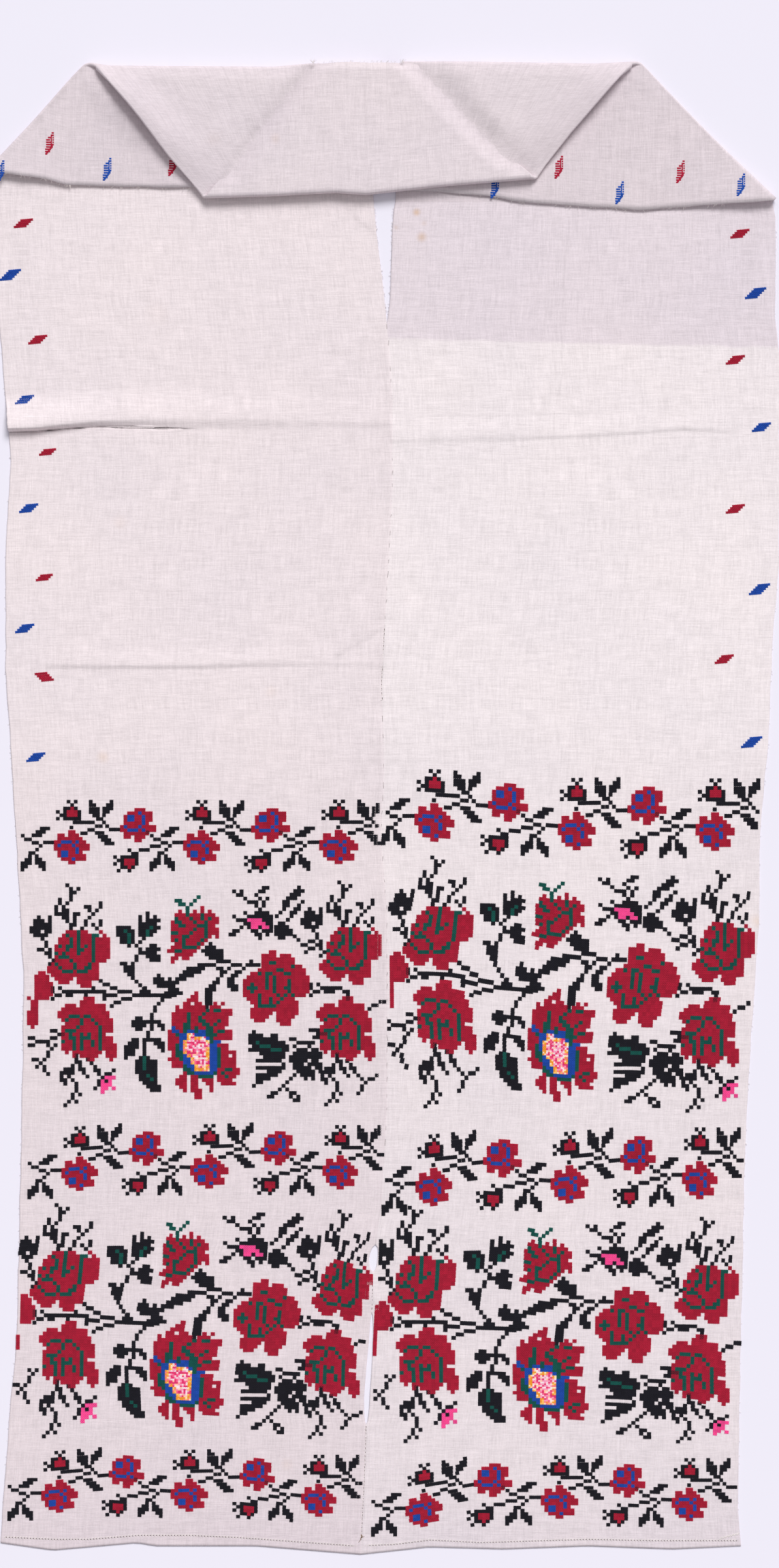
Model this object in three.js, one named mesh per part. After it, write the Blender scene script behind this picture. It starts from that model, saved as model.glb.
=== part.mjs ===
// Rushnyk: one long linen towel, bent into a narrow inverted U and sewn side to side.
// Both arms lie face up on the surface. At each top corner the cloth turns under itself
// along a diagonal, and the whole double layer is then folded forward over the top line
// and back up over a second line, as one back-and-forth section.
// Millimetres. x runs to the right, y up the towel, z off the surface.
// "down" is measured from the top fold towards the embroidered ends.
import * as THREE from "three";

// The sheet and the stack of its layers.
const CLOTH = 1.2;
const LAYER_PITCH = 2.4;
const BEND_RADIUS = LAYER_PITCH;
const BEND_REACH = BEND_RADIUS + LAYER_PITCH / 2 + CLOTH / 2;
const FIRST_LEVEL = CLOTH / 2 + LAYER_PITCH / 2;
const SECOND_LEVEL = FIRST_LEVEL + 2 * BEND_RADIUS;
const THIRD_LEVEL = SECOND_LEVEL + 2 * BEND_RADIUS;

// How finely the sheet is divided.
const ARM_COLUMNS = 7;
const BRIDGE_COLUMNS = 24;
const DIAGONAL_STEPS = 4;
const OPEN_ROWS = 6;
const ROW_STEP = 42;

// The three lines that run across the bridge.
const TOP_FOLD = [
  { x: -281, down: 1 },
  { x: -262, down: 4 },
  { x: -106, down: 5 },
  { x: -73, down: 2 },
  { x: 12, down: 2 },
  { x: 16, down: 0 },
  { x: 68, down: 0 },
  { x: 198, down: 2 },
  { x: 238, down: 0 },
];
const BOTTOM_FOLD = [
  { x: -169, down: 131 },
  { x: -106, down: 129 },
  { x: -48, down: 126 },
  { x: -19, down: 128 },
  { x: 53, down: 120 },
  { x: 138, down: 113 },
];
const FLAP_EDGE = [
  { x: -374, down: 105 },
  { x: -322, down: 112 },
  { x: -304, down: 117 },
  { x: -237, down: 119 },
  { x: -60, down: 121 },
  { x: 48, down: 123 },
  { x: 97, down: 128 },
  { x: 135, down: 134 },
  { x: 242, down: 141 },
  { x: 299, down: 137 },
  { x: 367, down: 133 },
];
const TOP_SELVEDGE_DOWN = 3;

// The diagonals where each arm turns under the bridge, by level in the stack.
// Levels: 0 flap edge, 1 to 2 over the top fold, 3 to 4 over the bottom fold, 5 top selvedge.
const LEFT_DIAGONAL = [
  { level: 0, x: -374 },
  { level: 0.11, x: -366 },
  { level: 0.37, x: -343 },
  { level: 0.65, x: -319 },
  { level: 0.87, x: -300 },
  { level: 1, x: -287 },
  { level: 2, x: -277 },
  { level: 3, x: -171 },
  { level: 4, x: -167 },
  { level: 5, x: -72 },
];
const RIGHT_DIAGONAL = [
  { level: 0, x: 367 },
  { level: 1, x: 243 },
  { level: 2, x: 237 },
  { level: 3, x: 140 },
  { level: 4, x: 136 },
  { level: 5, x: 29 },
];
const ARM_END_LEVEL = 4.94;

// The arms' inner selvedges inside the stack, by the same levels.
const LEFT_INNER_IN_STACK = [
  { level: 0, x: -14 },
  { level: 1, x: -8 },
  { level: 2, x: -8 },
  { level: 3, x: -40 },
  { level: 4, x: -40 },
  { level: 5, x: -70 },
];
const RIGHT_INNER_IN_STACK = [
  { level: 0, x: 9 },
  { level: 1, x: 16 },
  { level: 2, x: 16 },
  { level: 3, x: 22 },
  { level: 4, x: 22 },
  { level: 5, x: 28 },
];

// The arms' outer selvedges below the corners.
const LEFT_OUTER = [
  { down: 105, x: -374 },
  { down: 201, x: -371 },
  { down: 298, x: -363 },
  { down: 345, x: -358 },
  { down: 379, x: -356 },
  { down: 459, x: -361 },
  { down: 577, x: -361 },
  { down: 636, x: -357 },
  { down: 750, x: -350 },
  { down: 862, x: -344 },
  { down: 967, x: -345 },
  { down: 1206, x: -350 },
  { down: 1305, x: -359 },
  { down: 1411, x: -366 },
];
const RIGHT_OUTER = [
  { down: 133, x: 367 },
  { down: 147, x: 370 },
  { down: 240, x: 369 },
  { down: 277, x: 373 },
  { down: 477, x: 373 },
  { down: 535, x: 368 },
  { down: 645, x: 363 },
  { down: 732, x: 355 },
  { down: 818, x: 354 },
  { down: 948, x: 345 },
  { down: 1057, x: 340 },
  { down: 1169, x: 338 },
  { down: 1371, x: 334 },
  { down: 1411, x: 337 },
];

// The open V between the arms, from the bridge to the start of the seam.
const SEAM_START = 249;
const LEFT_OF_OPENING = [
  { down: 105, x: -14 },
  { down: 163, x: -9 },
  { down: 210, x: -3 },
  { down: SEAM_START, x: 1 },
];
const RIGHT_OF_OPENING = [
  { down: 133, x: 8 },
  { down: 162, x: 6 },
  { down: 225, x: 4 },
  { down: SEAM_START, x: 1 },
];

// The seam that joins the two arms, and the two places where it has come open.
const SEAM = [
  { down: SEAM_START, x: 1 },
  { down: 320, x: 6 },
  { down: 409, x: 6 },
  { down: 496, x: 1 },
  { down: 586, x: -4 },
  { down: 675, x: -2 },
  { down: 735, x: -5 },
  { down: 809, x: 1 },
  { down: 990, x: 1 },
  { down: 1086, x: -4 },
  { down: 1135, x: -12 },
  { down: 1213, x: -14 },
  { down: 1266, x: -18 },
  { down: 1334, x: -20 },
  { down: 1411, x: -24 },
];
const SEAM_GAPS = [
  { from: 1122, widest: 1135, to: 1148, width: 8 },
  { from: 1186, widest: 1264, to: 1293, width: 5.4 },
];

// The hemmed end, as its distance down at each place across both arms.
const END_DOWN = 1411;
const END_EDGE = [
  { x: -366, down: 1405 },
  { x: -316, down: 1412 },
  { x: -236, down: 1405 },
  { x: -219, down: 1408 },
  { x: -123, down: 1408 },
  { x: -24, down: 1416 },
  { x: 41, down: 1409 },
  { x: 112, down: 1411 },
  { x: 192, down: 1408 },
  { x: 272, down: 1411 },
  { x: 337, down: 1408 },
];
const END_BLEND = 60;

// Storage creases that stand up as low ridges across the arms.
const RIDGES = [
  { fromX: -375, fromDown: 347, toX: 8, toDown: 344, start: 6.5, end: 1.2, half: 13 },
  { fromX: -330, fromDown: 575, toX: 0, toDown: 574, start: 1.6, end: 1.6, half: 11 },
  { fromX: 4, fromDown: 360, toX: 330, toDown: 348, start: 2, end: 1, half: 13 },
];
const RIDGE_ROWS = [-1, -0.5, 0, 0.5, 1];

// The flap's two corners, which stand a little off the arms.
const FLAP_LIFT = [
  { x: -374, lift: 1.5 },
  { x: -340, lift: 4 },
  { x: -304, lift: 1 },
  { x: -280, lift: 0 },
  { x: 270, lift: 0 },
  { x: 318, lift: 5 },
  { x: 367, lift: 2.5 },
];

const mix = THREE.MathUtils.lerp;

// The value of one column of a table where another column has a given value.
function read(table, key, at, column) {
  const last = table.length - 1;
  if (at <= table[0][key]) return table[0][column];
  if (at >= table[last][key]) return table[last][column];
  const next = table.findIndex((row) => row[key] > at);
  const a = table[next - 1];
  const b = table[next];
  return mix(a[column], b[column], (at - a[key]) / (b[key] - a[key]));
}

// A point of the stack: x across, level along the back-and-forth path, and which sheet of
// the pair it is on (-1 the arm, which starts lowest, and +1 the bridge over it).
function stackPoint(x, level, sheet, flapDown) {
  const top = read(TOP_FOLD, "x", x, "down") + BEND_REACH;
  const bottom = read(BOTTOM_FOLD, "x", x, "down") - BEND_REACH;
  const turn = Math.PI * (level % 1);
  const off = (sheet * LAYER_PITCH) / 2;
  if (level <= 1) {
    return point(x, mix(flapDown, top, level), FIRST_LEVEL + off);
  }
  if (level < 2) {
    const reach = BEND_RADIUS - off;
    const middle = (FIRST_LEVEL + SECOND_LEVEL) / 2;
    return point(x, top - reach * Math.sin(turn), middle - reach * Math.cos(turn));
  }
  if (level <= 3) {
    return point(x, mix(top, bottom, level - 2), SECOND_LEVEL - off);
  }
  if (level < 4) {
    const reach = BEND_RADIUS + off;
    const middle = (SECOND_LEVEL + THIRD_LEVEL) / 2;
    return point(x, bottom + reach * Math.sin(turn), middle - reach * Math.cos(turn));
  }
  return point(x, mix(bottom, TOP_SELVEDGE_DOWN, level - 4), THIRD_LEVEL + off);
}

function point(x, down, z) {
  return new THREE.Vector3(x, -down, z);
}

// How far the storage creases lift the arms at a place.
function ridgeLift(x, down) {
  let lift = 0;
  for (const ridge of RIDGES) {
    const along = (x - ridge.fromX) / (ridge.toX - ridge.fromX);
    if (along < 0 || along > 1) continue;
    const away = (down - mix(ridge.fromDown, ridge.toDown, along)) / ridge.half;
    if (Math.abs(away) >= 1) continue;
    lift += mix(ridge.start, ridge.end, along) * (1 - away * away) ** 2;
  }
  return lift;
}

// The hemmed end is uneven, and the last rows are drawn out to meet it.
function endShift(x, down) {
  const share = THREE.MathUtils.smoothstep(down, END_DOWN - END_BLEND, END_DOWN);
  return share * (read(END_EDGE, "x", x, "down") - END_DOWN);
}

// Rows down the sewn part of the arms, closer together where a ridge or a gap is.
function sewnRows() {
  const rows = new Set([SEAM_START, END_DOWN]);
  for (const ridge of RIDGES) {
    const middle = (ridge.fromDown + ridge.toDown) / 2;
    for (const share of RIDGE_ROWS) rows.add(middle + share * ridge.half);
  }
  for (const gap of SEAM_GAPS) {
    rows.add(gap.from);
    rows.add((gap.from + gap.widest) / 2);
    rows.add(gap.widest);
    rows.add((gap.widest + gap.to) / 2);
    rows.add(gap.to);
  }
  const sorted = [...rows].sort((a, b) => a - b);
  const filled = [];
  for (let i = 0; i < sorted.length - 1; i += 1) {
    const span = sorted[i + 1] - sorted[i];
    const parts = Math.ceil(span / ROW_STEP);
    for (let part = 0; part < parts; part += 1) filled.push(sorted[i] + (span * part) / parts);
  }
  filled.push(END_DOWN);
  return filled;
}

// Half the width of the opening in the seam at a row, 0 where the seam holds.
function halfGap(down) {
  for (const gap of SEAM_GAPS) {
    if (down <= gap.from || down >= gap.to) continue;
    const edge = down < gap.widest ? gap.from : gap.to;
    return (gap.width / 2) * Math.sqrt(1 - ((down - gap.widest) / (edge - gap.widest)) ** 2);
  }
  return 0;
}

// The middle surface of the whole sheet: points, and faces whose front is the towel's face.
const points = [];
const faces = [];

function addPoint(p) {
  points.push(p);
  return points.length - 1;
}

// Faces between neighbouring columns of a net of point numbers, rows running downwards.
function addNet(net, mirrored) {
  for (let r = 0; r + 1 < net.length; r += 1) {
    for (let c = 0; c + 1 < net[r].length; c += 1) {
      const corners = [net[r][c], net[r + 1][c], net[r + 1][c + 1], net[r][c + 1]];
      const [a, b, d, e] = mirrored ? corners.reverse() : corners;
      faces.push([a, b, d], [a, d, e]);
    }
  }
}

// Levels of the stack from the top selvedge down to the flap edge.
const LEVELS = [
  5, ARM_END_LEVEL, 4.75, 4.5, 4.25, 4,
  3.75, 3.5, 3.25, 3,
  2.75, 2.5, 2.25, 2,
  1.75, 1.5, 1.25, 1,
  0.87, 0.65, 0.37, 0.2, 0.09, 0,
];

function bridgeNet() {
  return LEVELS.map((level) => {
    const left = read(LEFT_DIAGONAL, "level", level, "x");
    const right = read(RIGHT_DIAGONAL, "level", level, "x");
    const row = [];
    for (let c = 0; c <= BRIDGE_COLUMNS; c += 1) {
      const x = mix(left, right, c / BRIDGE_COLUMNS);
      const p = stackPoint(x, level, 1, read(FLAP_EDGE, "x", x, "down"));
      if (level < 1) p.z += read(FLAP_LIFT, "x", x, "lift") * (1 - level) ** 2;
      row.push(addPoint(p));
    }
    return row;
  });
}

// One arm's rows inside the stack, then over the open V, then down the sewn part.
function armNet(arm, sharedEdge) {
  const net = [];
  const cornerDown = arm.outer[0].down;
  for (const level of LEVELS.slice(1)) {
    const outer = read(arm.diagonal, "level", level, "x");
    const inner = read(arm.innerInStack, "level", level, "x");
    const row = [];
    for (let c = 0; c <= ARM_COLUMNS; c += 1) {
      const x = mix(outer, inner, c / ARM_COLUMNS);
      row.push(addPoint(stackPoint(x, level, -1, cornerDown)));
    }
    net.push(row);
  }
  for (let step = 1; step < OPEN_ROWS; step += 1) {
    const down = mix(cornerDown, SEAM_START, step / OPEN_ROWS);
    net.push(flatRow(arm, down, read(arm.opening, "down", down, "x"), null));
  }
  for (const [index, down] of sewnRows().entries()) {
    const shared = sharedEdge && halfGap(down) === 0 ? sharedEdge[index] : null;
    const inner = read(SEAM, "down", down, "x") + arm.side * halfGap(down);
    net.push(flatRow(arm, down, inner, shared));
  }
  return net;
}

function flatRow(arm, down, inner, shared) {
  const outer = read(arm.outer, "down", down, "x");
  const row = [];
  for (let c = 0; c <= ARM_COLUMNS; c += 1) {
    const x = mix(outer, inner, c / ARM_COLUMNS);
    const lift = ridgeLift(x, down);
    const isShared = c === ARM_COLUMNS && shared !== null;
    row.push(isShared ? shared : addPoint(point(x, down + endShift(x, down), CLOTH / 2 + lift)));
  }
  return row;
}

// The half-round turn of the cloth along a diagonal, from the arm up to the bridge.
function diagonalNet(arm, armRows, bridgeRows, bridgeColumn) {
  const edge = bridgeRows.map((row) => row[bridgeColumn]);
  return edge.map((over, r) => {
    const under = armRows[r][0];
    const a = points[under];
    const b = points[over];
    const before = points[edge[Math.max(r - 1, 0)]];
    const after = points[edge[Math.min(r + 1, edge.length - 1)]];
    const across = b.clone().sub(a);
    const outward = after.clone().sub(before).cross(across).normalize();
    outward.multiplyScalar(Math.sign(outward.x * arm.side) || 1);
    const middle = a.clone().add(b).multiplyScalar(0.5);
    const row = [over];
    for (let step = DIAGONAL_STEPS - 1; step > 0; step -= 1) {
      const turn = (Math.PI * step) / DIAGONAL_STEPS;
      const p = middle.clone().addScaledVector(across, -Math.cos(turn) / 2);
      row.push(addPoint(p.addScaledVector(outward, (Math.sin(turn) * across.length()) / 2)));
    }
    row.push(under);
    return row;
  });
}

// Gives the middle surface its thickness and closes it along every free edge.
function thicken() {
  const normals = points.map(() => new THREE.Vector3());
  for (const [a, b, c] of faces) {
    const side = points[b].clone().sub(points[a]);
    const normal = side.cross(points[c].clone().sub(points[a]));
    for (const i of [a, b, c]) normals[i].add(normal);
  }
  const position = [];
  for (const sign of [1, -1]) {
    points.forEach((p, i) => {
      const offset = normals[i].clone().normalize().multiplyScalar((sign * CLOTH) / 2);
      position.push(...p.clone().add(offset));
    });
  }
  const index = [];
  const back = points.length;
  const free = new Map();
  for (const [a, b, c] of faces) {
    index.push(a, b, c, c + back, b + back, a + back);
    for (const [from, to] of [[a, b], [b, c], [c, a]]) {
      const twin = `${to} ${from}`;
      if (!free.delete(twin)) free.set(`${from} ${to}`, [from, to]);
    }
  }
  for (const [from, to] of free.values()) {
    index.push(to, from, from + back, to, from + back, to + back);
  }
  const geometry = new THREE.BufferGeometry();
  geometry.setAttribute("position", new THREE.Float32BufferAttribute(position, 3));
  geometry.setIndex(index);
  return geometry;
}

const LEFT_ARM = {
  side: -1,
  outer: LEFT_OUTER,
  diagonal: LEFT_DIAGONAL,
  innerInStack: LEFT_INNER_IN_STACK,
  opening: LEFT_OF_OPENING,
};
const RIGHT_ARM = {
  side: 1,
  outer: RIGHT_OUTER,
  diagonal: RIGHT_DIAGONAL,
  innerInStack: RIGHT_INNER_IN_STACK,
  opening: RIGHT_OF_OPENING,
};

// The linen cloth, one piece from the hem of one arm over the bridge to the hem of the other.
function linenCloth() {
  const bridge = bridgeNet();
  const left = armNet(LEFT_ARM, null);
  const seamEdge = left.slice(-sewnRows().length).map((row) => row[ARM_COLUMNS]);
  const right = armNet(RIGHT_ARM, seamEdge);
  const bridgeRows = bridge.slice(1);
  addNet(bridge, true);
  addNet(left, false);
  addNet(right, true);
  addNet(diagonalNet(LEFT_ARM, left, bridgeRows, 0), false);
  addNet(diagonalNet(RIGHT_ARM, right, bridgeRows, BRIDGE_COLUMNS), true);

  const geometry = thicken();
  geometry.computeBoundingBox();
  const centre = geometry.boundingBox.getCenter(new THREE.Vector3());
  geometry.translate(-centre.x, -centre.y, 0);
  geometry.computeVertexNormals();
  const linen = new THREE.MeshStandardMaterial({ color: 0xd8d0cc, roughness: 0.95, metalness: 0 });
  const cloth = new THREE.Mesh(geometry, linen);
  cloth.name = "linen_cloth";
  return cloth;
}

const rushnyk = new THREE.Group();
rushnyk.add(linenCloth());

export default rushnyk;
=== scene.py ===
"""A folded rushnyk: one long linen towel in a narrow inverted U, with cross stitch on both ends.

Run as a script, it dresses the frame that is loaded at the top: the cloth first, then the
embroidery, the small sewing and the stage. Places on the towel are in millimetres: x to the
right, down from the top fold, z off the surface. Places of the embroidery are in steps of a
layout grid of 0.62 mm.
"""

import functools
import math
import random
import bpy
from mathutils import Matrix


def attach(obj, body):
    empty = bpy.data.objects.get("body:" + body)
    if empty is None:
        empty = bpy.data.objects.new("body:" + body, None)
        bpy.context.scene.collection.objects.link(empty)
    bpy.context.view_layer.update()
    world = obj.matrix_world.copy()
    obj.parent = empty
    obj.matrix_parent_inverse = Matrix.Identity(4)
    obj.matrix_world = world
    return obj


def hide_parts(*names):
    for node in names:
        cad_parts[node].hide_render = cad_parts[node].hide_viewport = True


bl_info = {
    "name": "Rushnyk Towel",
    "version": (1, 0, 0),
    "blender": (4, 5, 0),
    "location": "View3D > Sidebar > Rushnyk",
    "description": "Makes a folded linen towel with cross stitch garlands",
    "category": "Add Mesh",
}

import bpy
from mathutils import Vector, noise

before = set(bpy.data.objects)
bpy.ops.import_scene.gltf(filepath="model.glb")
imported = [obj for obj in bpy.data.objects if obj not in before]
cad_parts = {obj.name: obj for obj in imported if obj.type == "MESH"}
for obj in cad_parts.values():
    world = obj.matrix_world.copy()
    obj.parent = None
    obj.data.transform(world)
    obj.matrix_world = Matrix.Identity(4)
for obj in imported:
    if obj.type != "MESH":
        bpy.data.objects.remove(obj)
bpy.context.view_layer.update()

MM = 0.001
SIDE_SHIFT = 1.49
HALF_LENGTH = 708.0
LOOM_WIDTH = 366

# The layout grid of the embroidery: its step, and where the towel's middle and top are on it.
GRID_STEP = 0.62
GRID_MIDDLE = 591
GRID_TOP = 95

# The laid shape, in millimetres.
# The three lines that run across the bridge, as (x, down).
TOP_FOLD = [
    (-281, 1), (-262, 4), (-106, 5), (-73, 2), (12, 2), (16, 0), (68, 0), (198, 2), (238, 0),
]
BOTTOM_FOLD = [(-169, 131), (-106, 129), (-48, 126), (-19, 128), (53, 120), (138, 113)]
FLAP_EDGE = [
    (-374, 105), (-322, 112), (-304, 117), (-237, 119), (-60, 121), (48, 123),
    (97, 128), (135, 134), (242, 141), (299, 137), (367, 133),
]
TOP_SELVEDGE_DOWN = 3

# The diagonals where each arm turns under the bridge, as (level, x).
# Levels: 0 flap edge, 1 to 2 over the top fold, 3 to 4 over the bottom fold, 5 top selvedge.
LEFT_DIAGONAL = [
    (0, -374), (0.11, -366), (0.37, -343), (0.65, -319), (0.87, -300),
    (1, -287), (2, -272.5), (2.35, -236.5), (2.7, -205), (3, -173.5), (4, -167), (5, -72),
]
RIGHT_DIAGONAL = [
    (0, 367), (1, 243), (2, 231), (2.25, 207), (2.6, 175.5), (3, 143), (4, 136), (5, 29),
]
ARM_END_LEVEL = 4.94

# The arms' inner selvedges inside the stack, as (level, x).
LEFT_INNER_IN_STACK = [(0, -14), (1, -8), (2, -8), (3, -40), (4, -40), (5, -70)]
RIGHT_INNER_IN_STACK = [(0, 9), (1, 16), (2, 16), (3, 22), (4, 22), (5, 28)]

# The arms' outer selvedges below the corners, as (down, x).
LEFT_OUTER = [
    (105, -374), (201, -371), (298, -363), (345, -358), (379, -356), (459, -361),
    (577, -361), (636, -357), (750, -350), (862, -344), (967, -345), (1206, -350),
    (1305, -359), (1411, -366),
]
RIGHT_OUTER = [
    (133, 367), (147, 370), (240, 369), (277, 373), (477, 373), (535, 368), (645, 363),
    (732, 355), (818, 354), (948, 345), (1057, 340), (1169, 338), (1371, 334), (1411, 337),
]

# The open V between the arms, then the seam that joins them, as (down, x).
SEAM_START = 249
LEFT_OF_OPENING = [(105, -14), (163, -9), (210, -3), (SEAM_START, 1)]
RIGHT_OF_OPENING = [(133, 8), (162, 6), (225, 4), (SEAM_START, 1)]
SEAM = [
    (SEAM_START, 1), (320, 6), (409, 6), (496, 1), (586, -4), (675, -2), (735, -5),
    (809, 1), (990, 1), (1086, -4), (1135, -12), (1213, -14), (1266, -18), (1334, -20),
    (1411, -24),
]
# The two places where the seam has come open: from, widest at, to, width.
SEAM_GAPS = [(1122, 1135, 1148, 8), (1186, 1264, 1293, 5.4)]

# The hemmed end, as (x, down), and how far up the cloth it is drawn out.
END_DOWN = 1411
END_EDGE = [
    (-366, 1405), (-316, 1412), (-236, 1405), (-219, 1408), (-123, 1408), (-24, 1416),
    (41, 1409), (112, 1411), (192, 1408), (272, 1411), (337, 1408),
]
END_BLEND = 60

# Storage creases: how far each rises above its crest, and its line as (x, crest, foot, height,
# overhang), crest and foot being places down the towel.
RIDGES = [
    (30, [
        (-375, 348.5, 351, 9.5, 2.0), (-335, 347.5, 350, 9.0, 1.8), (-304, 343.5, 347.5, 6.8, 1.2),
        (-273, 340, 346.2, 5.2, 0.6), (-242, 339, 348.0, 4.1, 0.2), (-211, 338.5, 349.3, 3.2, 0),
        (-180, 338, 349.5, 2.6, 0), (-149, 337.5, 349.5, 2.2, 0), (-118, 337.5, 349.5, 1.8, 0),
        (-87, 339, 349.5, 1.5, 0), (-44, 340, 349, 1.1, 0), (8, 342, 349, 0.8, 0),
    ]),
    (18, [
        (-330, 572, 577, 0.3, 0), (-304, 571, 576, 1.0, 0), (-211, 572, 577, 1.3, 0),
        (-120, 570, 575, 1.2, 0), (-60, 569, 574, 0.6, 0), (0, 570, 576, 0.3, 0),
    ]),
    (20, [
        (4, 358, 363, 0.7, 0), (100, 354, 360, 0.8, 0), (190, 353, 358, 0.8, 0),
        (285, 346, 351, 0.9, 0), (335, 349, 354, 0.3, 0),
    ]),
]

# The flap's two corners, which stand a little off the arms, as (x, lift).
FLAP_LIFT = [
    (-374, 4), (-345, 6), (-318, 3), (-295, 0.6), (-275, 0), (262, 0), (285, 0.8),
    (318, 3.5), (345, 6), (367, 6),
]

# How far the middle pair of layers swells where the arms turn under it, as (level, swell), and
# how far the flap bulges beside it, so that a dark valley lies between.
LEFT_SWELL = [(2.0, 0), (2.06, 4), (2.18, 9), (2.38, 9.5), (2.6, 6), (2.85, 1.6), (3.0, 0)]
RIGHT_SWELL = [(2.0, 0), (2.05, 3.5), (2.15, 7), (2.35, 5), (2.65, 2), (3.0, 0)]
SWELL_REACH = 48
TUCK = 0.6
LEFT_BULGE = [(2.0, 0), (2.06, 2.2), (2.2, 4.2), (2.5, 3.2), (2.8, 1.0), (3.0, 0)]
RIGHT_BULGE = [(2.0, 0), (2.05, 2), (2.12, 2.6), (2.35, 1.2), (2.6, 0)]
BULGE_AWAY = 15
BULGE_WIDTH = 9

# How far the second pair of layers sinks where the third begins, and how high it is beside it.
VALLEY = 1.0
CUSHION = 4.0
CUSHION_REACH = 16
# The levels between which it grows, and how much sooner than the second one it is full.
CUSHION_LEVELS = (4.02, 4.6)
CUSHION_PACE = 1.6

# The topmost pair's two slanting sides run out into the pair below: over which levels, and how far
# above and under its upper sheet.
RUN_OUT_LEVELS = (4.0, 4.16)
RUN_OUT_ABOVE = 0.15
RUN_OUT_UNDER = 0.3

# How the folds' outlines are rounded: the lower the number, the crisper.
TOP_ROUNDING = 0.6
BOTTOM_ROUNDING = 0.5
# How much of the middle pair's swell its lower sheet takes part in.
LOWER_SHEET_SWELL = 0.3
# The share of a half-round turn that the cloth keeps where the middle pair is tucked in.
TUCKED_TURN = 0.3
# A crease with this much overhang is a rounded fold, and one with none is a soft wave.
FULL_OVERHANG = 1.2

# Where the left arm's selvedge laps over the right one's, and where the seam pulls a groove.
SEAM_LAPS = [(256, 536), (622, 1032)]
SEAM_GROOVES = [(538, 606), (1158, 1186), (1294, 1408)]
# The raised edge beside the seam: how far out it is highest and where it ends, how softly a lap
# and a groove begin and end down the seam, and a groove's height as a share of a lap's.
SEAM_CREST = 0.9
SEAM_REACH = 9.0
LAP_EASE = 20
GROOVE_EASE = 6
GROOVE_SHARE = 0.7

# How a free edge wanders: how quickly and how far, once slowly and once quickly.
WAVERS = [(0.045, 1.4), (0.25, 0.6)]

# The rows down the sewn part, in millimetres: how far above and below a crease they lie close, how
# far apart there, where a crease swells and beside a gap, and those that end at the hem.
CREASE_ABOVE = 8
CREASE_BELOW = 1
CREASE_STEP = 1.1
SWELL_STEP = 4.0
GAP_STEP = 3.0
HEM_ROWS = (9.0, 7.5, 2.0)


def mix(a, b, share):
    """A value between a and b."""
    return a + (b - a) * share


def smooth(low, high, at):
    """A share that eases from 0 at low to 1 at high."""
    share = min(max((at - low) / (high - low), 0.0), 1.0)
    return share * share * (3 - 2 * share)


def read(table, at):
    """The value beside a place in a table of pairs, straight between its rows."""
    if at <= table[0][0]:
        return table[0][1]
    for (low, a), (high, b) in zip(table, table[1:]):
        if at <= high:
            return mix(a, b, (at - low) / (high - low))
    return table[-1][1]


def to_frame(x, down, z):
    """A place on the towel, in millimetres, as a point of the frame, in metres."""
    return ((x + SIDE_SHIFT) * MM, (HALF_LENGTH - down) * MM, z * MM)


def ridge_lift(x, down):
    """How far the storage creases lift the arms at a place, and how far they lean down."""
    lift = 0.0
    lean = 0.0
    for reach, line in RIDGES:
        if not line[0][0] <= x <= line[-1][0]:
            continue
        crest, foot, height, overhang = (
            read([(row[0], row[k]) for row in line], x) for k in (1, 2, 3, 4))
        crest -= overhang
        if crest - reach < down <= crest:
            share = smooth(crest - reach, crest, down)
        elif crest < down < foot:
            share = mix(
                1 - smooth(crest, foot, down),
                math.sin(math.pi / 2 * (foot - down) / (foot - crest)) ** 0.9,
                min(1.0, overhang / FULL_OVERHANG))
        else:
            continue
        lift += height * share
        lean += overhang * share
    return lift, lean


def end_shift(x, down):
    """How far the last rows are drawn to meet the uneven hem."""
    return smooth(END_DOWN - END_BLEND, END_DOWN, down) * (read(END_EDGE, x) - END_DOWN)


def half_gap(down):
    """Half the width of the opening in the seam at a row, 0 where the seam holds."""
    for start, widest, end, width in SEAM_GAPS:
        if start < down < end:
            edge = start if down < widest else end
            return width / 2 * math.sqrt(1 - ((down - widest) / (edge - widest)) ** 2)
    return 0.0


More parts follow.
